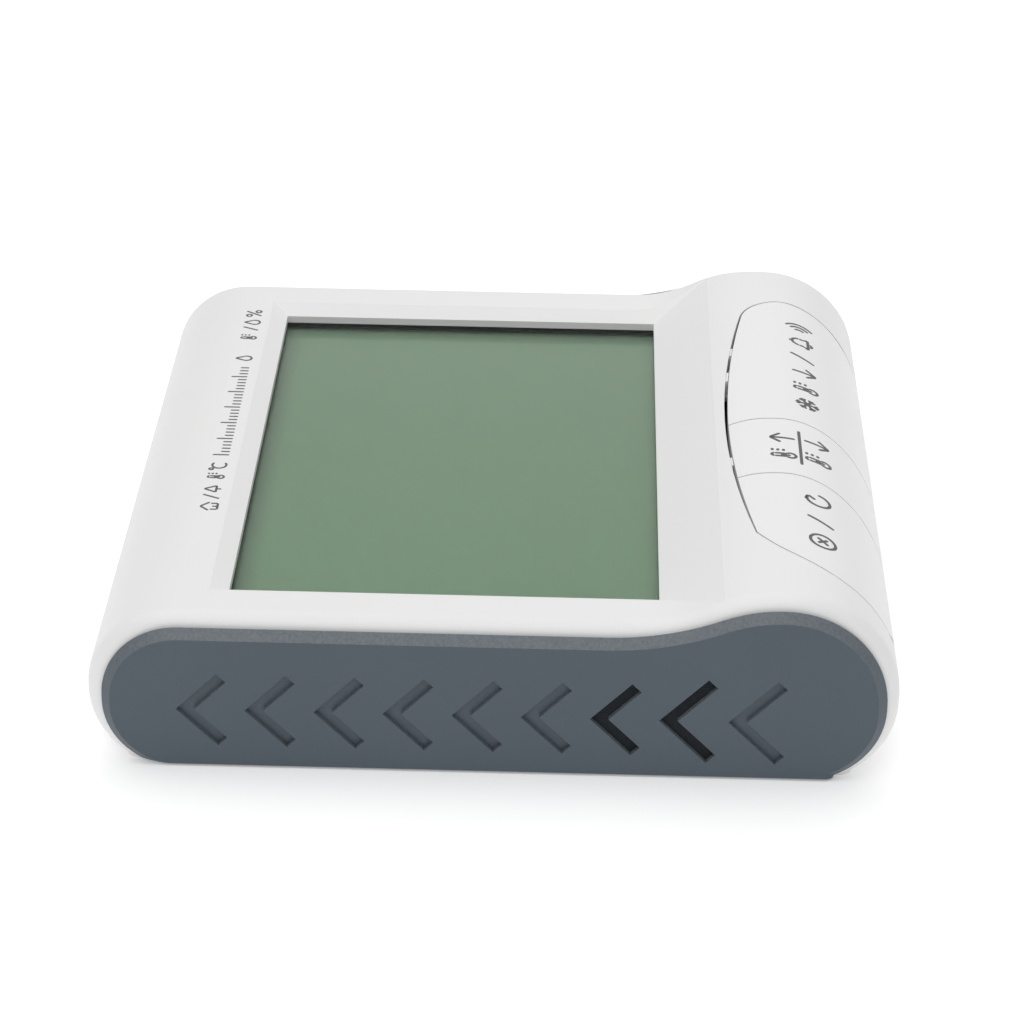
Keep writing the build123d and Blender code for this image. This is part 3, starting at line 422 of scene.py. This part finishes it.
# %% Drawn metals
def drawn_metal(name, colour, roughness, stretch):
    """Plated or drawn metal with fine streaks."""
    material, tree, shader = new_material(name)
    node = group_node(tree, drawn_group, Colour=(*colour, 1.0), Roughness=roughness, Stretch=stretch)
    tree.links.new(node.outputs["Colour"], shader.inputs["Base Color"])
    tree.links.new(node.outputs["Roughness"], shader.inputs["Roughness"])
    raise_surface(tree, shader, node.outputs["Height"], 0.004)
    shader.inputs["Metallic"].default_value = 1.0
    return material


plated_steel = drawn_metal("plated steel", (0.62, 0.62, 0.60), 0.28, (300.0, 5000.0, 5000.0))
tin_can = drawn_metal("tin can", (0.70, 0.69, 0.66), 0.22, (5000.0, 5000.0, 300.0))
print("metals", plated_steel.name, tin_can.name)

# %% [markdown]
# ## The circuit board, the rubber connector and the cell's wrap
#
# Three finishes with a pattern of their own. The board's green mask lies over copper, which shows as
# slightly lighter tracks. The connector under the display is a sandwich of conducting and plain
# rubber, so it is striped across. The cell's wrap has a band of another colour at its positive end.

# %% Helpers: colour bands and one coordinate
def ramp_node(tree, source, stops, hard=False):
    """A Color Ramp with (position, colour) stops."""
    ramp = tree.nodes.new("ShaderNodeValToRGB")
    ramp.color_ramp.interpolation = "CONSTANT" if hard else "LINEAR"
    elements = ramp.color_ramp.elements
    while len(elements) < len(stops):
        elements.new(0.5)
    for element, (position, colour) in zip(elements, stops):
        element.position = position
        element.color = (*colour, 1.0)
    tree.links.new(source, ramp.inputs["Fac"])
    return ramp


def object_axis(tree, axis):
    """One coordinate of the piece's own space, in metres."""
    split = tree.nodes.new("ShaderNodeSeparateXYZ")
    tree.links.new(tree.nodes.new("ShaderNodeTexCoord").outputs["Object"], split.inputs[0])
    return split.outputs[axis]


# %% The board's solder mask
solder_mask, tree, shader = new_material("solder mask")
tracks = tree.nodes.new("ShaderNodeTexBrick")
tracks.inputs["Scale"].default_value = 260.0
tracks.inputs["Mortar Size"].default_value = 0.035
tracks.inputs["Color1"].default_value = (0.010, 0.105, 0.035, 1.0)
tracks.inputs["Color2"].default_value = (0.012, 0.085, 0.030, 1.0)
tracks.inputs["Mortar"].default_value = (0.045, 0.190, 0.070, 1.0)
tree.links.new(tree.nodes.new("ShaderNodeTexCoord").outputs["Object"], tracks.inputs["Vector"])
tree.links.new(tracks.outputs["Color"], shader.inputs["Base Color"])
raise_surface(tree, shader, tracks.outputs["Fac"], 0.03)
shader.inputs["Roughness"].default_value = 0.3

print("made", solder_mask.name)

# %% The display's rubber connector
striped_rubber, tree, shader = new_material("striped rubber")
stripes = tree.nodes.new("ShaderNodeTexWave")
stripes.inputs["Scale"].default_value = 900.0
stripes.inputs["Distortion"].default_value = 0.3
tree.links.new(tree.nodes.new("ShaderNodeTexCoord").outputs["Object"], stripes.inputs["Vector"])
rubber_bands = ((0.0, (0.01, 0.01, 0.01)), (0.55, (0.35, 0.35, 0.36)))
bands = ramp_node(tree, stripes.outputs[1], rubber_bands, hard=True)
tree.links.new(bands.outputs["Color"], shader.inputs["Base Color"])
shader.inputs["Roughness"].default_value = 0.7

print("made", striped_rubber.name)

# %% The cell's wrap
cell_wrap, tree, shader = new_material("cell wrap")
cell_low, cell_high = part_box("battery_cell")
along = math_node(
    tree,
    "DIVIDE",
    math_node(tree, "SUBTRACT", object_axis(tree, "X"), cell_low[0]),
    cell_high[0] - cell_low[0],
)
wrap = ramp_node(
    tree,
    along,
    (
        (0.0, (0.62, 0.62, 0.60)),
        (0.015, (0.02, 0.02, 0.022)),
        (0.70, (0.56, 0.24, 0.06)),
        (0.97, (0.62, 0.62, 0.60)),
    ),
    hard=True,
)
tree.links.new(wrap.outputs["Color"], shader.inputs["Base Color"])
scuffs = group_node(tree, grain_group, Grain_per_metre=1200.0, Roughness=0.3, Roughness_spread=0.25)
tree.links.new(scuffs.outputs["Roughness"], shader.inputs["Roughness"])
shader.inputs["Metallic"].default_value = 0.35
shader.inputs["Coat Weight"].default_value = 0.4
print("cell from", [round(c, 4) for c in cell_low], "to", [round(c, 4) for c in cell_high])

# %% [markdown]
# ## Display and lens
#
# The display is reflective: a polariser over a grey-green reflector. Its colour is a little darker along
# its edges: painted shade, where the frame would shade it. The lens is a flat plate of clear acrylic
# with an anti-glare coat, so it is plain glass with almost no roughness, and an index below acrylic's
# 1.49 gives the coat's weaker reflections.

# %% The display
EDGE_SHADE = 4.8 * MM
lcd_green, tree, shader = new_material("display green")
lcd_low, lcd_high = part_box("lcd_panel")
film = group_node(
    tree,
    grain_group,
    Colour=(0.165, 0.285, 0.165, 1.0),
    Shade=(0.155, 0.270, 0.155, 1.0),
    Grain_per_metre=9000.0,
    Roughness=0.32,
    Roughness_spread=0.05,
)
nearest = None
for axis, low, high in (("X", lcd_low[0], lcd_high[0]), ("Y", lcd_low[1], lcd_high[1])):
    place_along = object_axis(tree, axis)
    for a, b in ((place_along, low), (high, place_along)):
        distance = math_node(tree, "SUBTRACT", a, b)
        nearest = distance if nearest is None else math_node(tree, "MINIMUM", nearest, distance)
# Painted shade: the colour darkens towards the display's edges, over EDGE_SHADE from each edge.
painted_edge_shade_stops = ((0.0, (0.35, 0.35, 0.38)), (1.0, (1.0, 1.0, 1.0)))
painted_edge_shade = ramp_node(tree, math_node(tree, "DIVIDE", nearest, EDGE_SHADE), painted_edge_shade_stops)
shaded = tree.nodes.new("ShaderNodeMix")
shaded.data_type = "RGBA"
shaded.blend_type = "MULTIPLY"
shaded.inputs[0].default_value = 1.0
tree.links.new(film.outputs["Colour"], shaded.inputs[6])
tree.links.new(painted_edge_shade.outputs["Color"], shaded.inputs[7])
tree.links.new(shaded.outputs[2], shader.inputs["Base Color"])
tree.links.new(film.outputs["Roughness"], shader.inputs["Roughness"])
shader.inputs["Specular IOR Level"].default_value = 0.1

print("display from", [round(c, 4) for c in lcd_low], "to", [round(c, 4) for c in lcd_high])

# %% The lens
clear_acrylic, tree, shader = new_material("clear acrylic")
shader.inputs["Base Color"].default_value = (0.97, 0.99, 0.98, 1.0)
shader.inputs["IOR"].default_value = 1.2
shader.inputs["Transmission Weight"].default_value = 1.0
polish = group_node(tree, grain_group, Grain_per_metre=400.0, Roughness=0.02, Roughness_spread=0.03)
tree.links.new(polish.outputs["Roughness"], shader.inputs["Roughness"])
print("lens index", round(shader.inputs["IOR"].default_value, 2))

# %% Each CAD node gets its material
finishes = {
    "white_shell": white_shell,
    "panel_grey": grey_panel,
    "key_white": white_key,
    "clear_lens": clear_acrylic,
    "lcd_glass": lcd_green,
    "black_foam": black_foam,
    "frame_white": white_frame,
    "elastomer": striped_rubber,
    "board_green": solder_mask,
    "epoxy_black": epoxy,
    "part_brown": part_brown,
    "tin": tin_can,
    "sensor_white": ceramic,
    "buzzer_black": black_plastic,
    "key_rubber": rubber,
    "cell_wrap": cell_wrap,
    "steel": plated_steel,
    "socket_black": socket_plastic,
    "lead_red": red_sheath,
    "lead_black": black_sheath,
}
slot_of = {row["node"]: row["material_slot"] for row in frame["record"]["subparts"]}
for name, node in nodes.items():
    node.data.materials.clear()
    node.data.materials.append(finishes[slot_of[name]])
print("slots", len(set(slot_of.values())), "finishes", len(finishes))

# %% [markdown]
# ## Printed marks
#
# The face and the keys carry pad-printed marks. They could be an image texture, but a thin raised
# skin of ink follows a curved key just as well and is real geometry. Each mark is a set of
# pen strokes. A stroke is a ribbon with round ends, laid on the part below it by casting a ray down
# at every point, so it keeps the same small height over the curve of the keys.

# %% Pen strokes
INK_HEIGHT = 0.02
INK_SUNK = 0.05
RAY_START = 0.05
STEP = 0.22
CAP_STEPS = 4


def run_of(points):
    """The distance along a polyline at each of its points."""
    marks = [0.0]
    for a, b in zip(points, points[1:]):
        marks.append(marks[-1] + (b - a).length)
    return marks


def at(points, marks, where):
    """The point and direction at a distance along a polyline."""
    for index in range(len(points) - 1):
        if where <= marks[index + 1] or index == len(points) - 2:
            part = (where - marks[index]) / (marks[index + 1] - marks[index])
            way = (points[index + 1] - points[index]).normalized()
            return points[index].lerp(points[index + 1], part), way


def ribbon(points, pen):
    """Rows of (left, middle, right) plan points along a stroke with round ends."""
    marks = run_of(points)
    total = marks[-1]
    radius = pen / 2
    ends = [radius * (1 - math.cos(math.pi / 2 * step / CAP_STEPS)) for step in range(CAP_STEPS + 1)]
    ends[0] = 0.04 * radius
    body = max(1, math.ceil((total - 2 * radius) / STEP))
    stops = ends + [radius + (total - 2 * radius) * step / body for step in range(1, body)]
    stops += [total - end for end in reversed(ends)]
    rows = []
    for stop in stops:
        middle_point, way = at(points, marks, stop)
        inset = radius - min(stop, total - stop, radius)
        half = math.sqrt(radius ** 2 - inset ** 2)
        side = Vector((-way.y, way.x)) * half
        rows.append((middle_point + side, middle_point, middle_point - side))
    return rows


print("stroke rows", len(ribbon([Vector((0, 0)), Vector((2, 0))], 0.3)))

# %% The ink
ink, tree, shader = new_material("grey ink")
ink_grain = group_node(
    tree,
    grain_group,
    Colour=(0.075, 0.077, 0.085, 1.0),
    Shade=(0.12, 0.12, 0.125, 1.0),
    Grain_per_metre=5000.0,
    Roughness=0.5,
    Roughness_spread=0.2,
)
tree.links.new(ink_grain.outputs["Colour"], shader.inputs["Base Color"])
tree.links.new(ink_grain.outputs["Roughness"], shader.inputs["Roughness"])
raise_surface(tree, shader, ink_grain.outputs["Height"], 0.004)


print("made", ink.name)


# %% A mark from its strokes
def surface_of(node_name):
    """A ray-casting tree of one CAD node, in its own frame."""
    mesh = nodes[node_name].data
    return BVHTree.FromPolygons([v.co for v in mesh.vertices], [p.vertices for p in mesh.polygons])


def finished(name, mesh, material, body):
    """Turns a bmesh into a piece with outward faces and a material, riding on a body."""
    bmesh.ops.recalc_face_normals(mesh, faces=mesh.faces)
    data = bpy.data.meshes.new(name)
    mesh.to_mesh(data)
    mesh.free()
    data.materials.append(material)
    piece = bpy.data.objects.new(name, data)
    bpy.context.scene.collection.objects.link(piece)
    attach(piece, body)
    return piece


def lay_ink(name, strokes, pen, part, body):
    """One printed mark: its strokes in millimetres, laid on `part` and riding on `body`."""
    below = surface_of(part)
    down = Vector((0, 0, -1))
    mesh = bmesh.new()
    for points in strokes:
        rows = []
        for row in ribbon([Vector(point) for point in points], pen):
            top, bottom = [], []
            for point in row:
                hit = below.ray_cast(Vector((point.x * MM, point.y * MM, RAY_START)), down)[0]
                top.append(mesh.verts.new(hit + Vector((0, 0, INK_HEIGHT * MM))))
                bottom.append(mesh.verts.new(hit - Vector((0, 0, INK_SUNK * MM))))
            rows.append(top + bottom[::-1])
        for near, far in zip(rows, rows[1:]):
            for index in range(6):
                following = (index + 1) % 6
                mesh.faces.new((near[index], near[following], far[following], far[index]))
        mesh.faces.new(rows[0][::-1])
        mesh.faces.new(rows[-1])
    return finished(name, mesh, ink, body)


# %% [markdown]
# ## A small alphabet of signs
#
# The signs say what the parts do without words: indoors, outdoors, temperature, humidity, frost,
# alarm, highest, lowest and clear. Each one is drawn in a box one unit high, then scaled and placed.
# Straight runs are split at their corners, so that every corner gets the pen's round end.

# %% Signs
def arc(centre_x, centre_y, radius, start, stop, steps=14):
    """A curved stroke between two angles in degrees."""
    angles = [math.radians(start + (stop - start) * step / steps) for step in range(steps + 1)]
    return [(centre_x + radius * math.cos(angle), centre_y + radius * math.sin(angle)) for angle in angles]


def lines(*points):
    """Straight strokes from each point to the next."""
    return [[a, b] for a, b in zip(points, points[1:])]


def ring(centre_x, centre_y, radius):
    """A closed circle, as a stroke whose ends overlap."""
    return [arc(centre_x, centre_y, radius, 0, 366, 20)]


def snowflake():
    """Six arms with a pair of small branches on each."""
    strokes = []
    for turn in range(6):
        way = math.radians(30 + 60 * turn)
        tip = (0.5 + 0.5 * math.cos(way), 0.5 + 0.5 * math.sin(way))
        knee = (0.5 + 0.3 * math.cos(way), 0.5 + 0.3 * math.sin(way))
        strokes += lines((0.5, 0.5), tip)
        for lean in (-0.9, 0.9):
            branch = (knee[0] + 0.2 * math.cos(way + lean), knee[1] + 0.2 * math.sin(way + lean))
            strokes += lines(knee, branch)
    return strokes


SIGNS = {
    "house": lines((0.0, 0.5), (0.5, 1.0), (1.0, 0.5))
    + lines((0.14, 0.42), (0.14, 0.0), (0.86, 0.0), (0.86, 0.42))
    + lines((0.5, 0.0), (0.5, 0.32)),
    "slash": lines((0.2, 0.0), (0.7, 1.0)),
    "tree": lines((0.5, 0.0), (0.5, 0.3)) + lines((0.1, 0.3), (0.5, 1.0), (0.9, 0.3), (0.1, 0.3)),
    "thermometer": [arc(0.4, 0.22, 0.2, 125, 415)]
    + lines((0.285, 0.38), (0.285, 0.86))
    + lines((0.515, 0.38), (0.515, 0.86))
    + [arc(0.4, 0.86, 0.115, 180, 0, 8)]
    + lines((0.4, 0.22), (0.4, 0.62))
    + lines((0.72, 0.5), (0.9, 0.5))
    + lines((0.72, 0.72), (0.9, 0.72))
    + lines((0.72, 0.94), (0.9, 0.94)),
    "droplet": [arc(0.5, 0.32, 0.32, 150, 390)] + lines((0.223, 0.48), (0.5, 1.0), (0.777, 0.48)),
    "degrees": ring(0.14, 0.88, 0.12) + [arc(0.66, 0.45, 0.42, 50, 310)],
    "percent": lines((0.15, 0.0), (0.85, 1.0)) + ring(0.2, 0.78, 0.17) + ring(0.8, 0.22, 0.17),
    "snowflake": snowflake(),
    "bell": [arc(0.5, 0.56, 0.3, 180, 0)]
    + lines((0.2, 0.56), (0.2, 0.34), (0.06, 0.18), (0.94, 0.18), (0.8, 0.34), (0.8, 0.56))
    + [arc(0.5, 0.14, 0.13, 190, 350, 8)]
    + lines((0.5, 0.88), (0.5, 1.0)),
    "sound": [arc(0.0, 0.5, radius, -50, 50, steps) for radius, steps in ((0.25, 8), (0.5, 10), (0.75, 12))],
    "highest": lines((0.5, 0.0), (0.5, 1.0)) + lines((0.12, 0.58), (0.5, 1.0), (0.88, 0.58)),
    "lowest": lines((0.5, 1.0), (0.5, 0.0)) + lines((0.12, 0.42), (0.5, 0.0), (0.88, 0.42)),
    "crossed": ring(0.5, 0.5, 0.48) + lines((0.3, 0.3), (0.7, 0.7)) + lines((0.3, 0.7), (0.7, 0.3)),
    "restart": [arc(0.5, 0.5, 0.45, 60, 360)] + lines((0.5, 0.62), (0.73, 0.89), (0.4, 1.0)),
}


def placed(sign, left, low, height, slant=0.0):
    """A sign's strokes in millimetres; slant moves the top sideways by that part of the height."""
    return [
        [(left + (u + slant * v) * height, low + v * height) for u, v in stroke] for stroke in SIGNS[sign]
    ]


print("signs", sorted(SIGNS))

# %% Marks along the top of the face
TOP_LOW = 36.2
FACE_PEN = 0.3
TOP_SIGN = 2.2
face_marks = []
for left, sign in (
    (-22.0, "house"),
    (-19.2, "slash"),
    (-17.2, "tree"),
    (-13.6, "thermometer"),
    (-10.8, "degrees"),
    (22.2, "droplet"),
    (29.2, "thermometer"),
    (32.2, "slash"),
    (34.2, "droplet"),
    (37.2, "percent"),
):
    face_marks += placed(sign, left, TOP_LOW, TOP_SIGN)
SCALE_START = -6.4
SCALE_PITCH = 0.95
SHORT_TICK = 0.55
for tick in range(29):
    tick_x = SCALE_START + SCALE_PITCH * tick
    tick_length = TOP_SIGN if tick % 5 == 0 else SHORT_TICK * TOP_SIGN
    face_marks += lines((tick_x, TOP_LOW), (tick_x, TOP_LOW + tick_length))
lay_ink("face_marks", face_marks, FACE_PEN, "front_case", "casing")
print("strokes on the face", len(face_marks))

# %% Marks on the three keys
KEY_PEN = 0.42
KEY_SIGN = 3.3
KEY_SLANT = 0.1
KEY_LOW = -41.7
alert_marks = []
for index, sign in enumerate(("snowflake", "thermometer", "lowest", "slash", "bell", "sound")):
    alert_marks += placed(sign, 3.9 + 4.9 * index, KEY_LOW, KEY_SIGN, KEY_SLANT)
lay_ink("alert_key_marks", alert_marks, KEY_PEN, "alert_key", "alert_key")

clear_marks = []
for index, sign in enumerate(("crossed", "slash", "restart")):
    clear_marks += placed(sign, -34.6 + 5.4 * index, KEY_LOW, KEY_SIGN, KEY_SLANT)
lay_ink("clear_key_marks", clear_marks, KEY_PEN, "clear_key", "clear_key")

max_min_marks = lines((-12.9, -38.4), (-3.3, -38.4))
for low, sign in ((-37.8, "highest"), (-42.3, "lowest")):
    max_min_marks += placed("thermometer", -12.2, low, KEY_SIGN, KEY_SLANT)
    max_min_marks += placed(sign, -7.6, low, KEY_SIGN, KEY_SLANT)
lay_ink("max_min_key_marks", max_min_marks, KEY_PEN, "max_min_key", "max_min_key")
print("printed strokes", len(face_marks) + len(alert_marks) + len(clear_marks) + len(max_min_marks))

# %% [markdown]
# ## Rubber domes under the keys
#
# Each key presses a rubber dome that gives way under it. The CAD model has a plain cone there, which
# has no thin wall to give way, so a turned dome takes its place, with a real dome's shape: a foot ring,
# a thin wall where the real dome bends, and a thick top.

# %% Turned domes
DOME_PROFILE = (
    (3.50, 0.00), (3.60, 0.10), (3.58, 0.28), (3.36, 0.52), (3.08, 1.10), (2.72, 1.80), (2.48, 2.22),
    (2.34, 2.46), (2.16, 2.57), (1.90, 2.60), (1.00, 2.58), (0.00, 2.57), (0.00, 1.80), (1.20, 1.80),
    (1.50, 1.74), (1.72, 1.50), (2.30, 0.75), (2.72, 0.22), (2.86, 0.06), (2.95, 0.00),
)
DOME_TURNS = 48


def turned(name, centre, profile, material, body):
    """A closed solid of revolution; profile is (radius, height) in millimetres, from foot to foot."""
    mesh = bmesh.new()
    rings = []
    for radius, height in profile:
        if radius == 0:
            rings.append([mesh.verts.new(centre + Vector((0, 0, height)) * MM)])
            continue
        angles = [2 * math.pi * turn / DOME_TURNS for turn in range(DOME_TURNS)]
        rings.append(
            [
                mesh.verts.new(centre + Vector((radius * math.cos(a), radius * math.sin(a), height)) * MM)
                for a in angles
            ]
        )
    for near, far in zip(rings, rings[1:] + rings[:1]):
        if len(near) == 1 and len(far) == 1:
            continue
        for turn in range(DOME_TURNS):
            following = (turn + 1) % DOME_TURNS
            corners = [near[turn % len(near)], near[following % len(near)]]
            corners += [far[following % len(far)], far[turn % len(far)]]
            mesh.faces.new(list(dict.fromkeys(corners)))
    piece = finished(name, mesh, material, body)
    piece.data.shade_smooth()
    return piece


# %% A dome under each key
for key in ("clear", "max_min", "alert"):
    dome_low, dome_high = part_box(f"{key}_dome")
    foot = Vector(((dome_low[0] + dome_high[0]) / 2, (dome_low[1] + dome_high[1]) / 2, dome_low[2]))
    dome = turned(f"{key}_rubber_dome", foot, DOME_PROFILE, rubber, "casing")
    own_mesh(dome)
    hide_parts(f"{key}_dome")
    print(dome.name, "stands", round((dome_high[2] - dome_low[2]) / MM, 2), "mm high")

# %% [markdown]
# ## Dark sheets in the open chevrons, painted shade
#
# Two chevrons of each side panel are cut right through, to let the room's air in. Behind them a
# near-black sheet, woven like cloth, is tucked into each opening: its colour is painted shade, standing
# in for the dark inside, so nothing of the inside shows. Its weave is cut into the mesh: a grid of small
# cushions between crossing threads.

# %% The chevrons that are cut through
CHEVRON_TIP = 38.4
CHEVRON_PITCH = 8.36
CHEVRON_HEIGHT = 8.07
CHEVRON_LEG = 5.03
CHEVRON_WIDTH = 1.6
LARGER = 1.16
CLOTH_SET_BACK = 0.75
CLOTH_OUTER = cad_box[1].x / MM - CLOTH_SET_BACK
CLOTH_THICK = 1.6
CLOTH_TUCK = 0.04
THREADS = 0.32
THREAD_HEIGHT = 0.07


def chevron_strip(index, scale):
    """Centre line of one chevron, as three (y, z) points."""
    tip = CHEVRON_TIP - index * CHEVRON_PITCH
    leg = CHEVRON_LEG * scale
    half = CHEVRON_WIDTH * math.sqrt(2) / 4
    top = Vector((tip - leg - half, CHEVRON_HEIGHT + leg - half))
    point = Vector((tip - 2 * half, CHEVRON_HEIGHT))
    foot = Vector((tip - leg - half, CHEVRON_HEIGHT - leg + half))
    return top, point, foot


# %% Weaving one vent shade sheet
def vent_shade_sheet_piece(name, side, index, scale):
    """A strip of cloth along a chevron's two legs, closed at the back, with threads on its front."""
    top, point, foot = chevron_strip(index, scale)
    mesh = bmesh.new()
    half = CHEVRON_WIDTH / 2 + CLOTH_TUCK
    for start, stop, past in ((top, point, half), (foot, point, -half)):
        way = (stop - start).normalized()
        start = start - way * CLOTH_TUCK
        stop = stop + way * past
        across = Vector((-way.y, way.x))
        long_count = max(2, round((stop - start).length / THREADS) * 2)
        wide_count = max(2, round(2 * half / THREADS) * 2)
        front, back = [], []
        for i in range(long_count + 1):
            for j in range(wide_count + 1):
                plan = start.lerp(stop, i / long_count) + across * half * (2 * j / wide_count - 1)
                rise = THREAD_HEIGHT if (i + j) % 2 else 0.0
                front.append(mesh.verts.new(Vector((side * (CLOTH_OUTER - rise), plan.x, plan.y)) * MM))
                back.append(mesh.verts.new(Vector((side * (CLOTH_OUTER - CLOTH_THICK), plan.x, plan.y)) * MM))
        columns = wide_count + 1
        for i in range(long_count):
            for j in range(wide_count):
                a, b = i * columns + j, (i + 1) * columns + j
                mesh.faces.new((front[a], front[b], front[b + 1], front[a + 1]))
                mesh.faces.new((back[a], back[a + 1], back[b + 1], back[b]))
        rim = [i * columns for i in range(long_count + 1)]
        rim += [long_count * columns + j for j in range(1, columns)]
        rim += [i * columns + wide_count for i in range(long_count - 1, -1, -1)]
        rim += [j for j in range(wide_count - 1, 0, -1)]
        for a, b in zip(rim, rim[1:] + rim[:1]):
            mesh.faces.new((front[a], front[b], back[b], back[a]))
    # The sheet's near-black finish is painted shade for the opening.
    return finished(name, mesh, vent_shade_sheet, "casing")


# %% Two shade sheets on each side
for side, side_name in ((-1, "left"), (1, "right")):
    for index, scale in ((6, 1.0), (7, LARGER)):
        vent_shade_sheet_piece(f"vent_shade_sheet_{side_name}_{index}", side, index, scale)
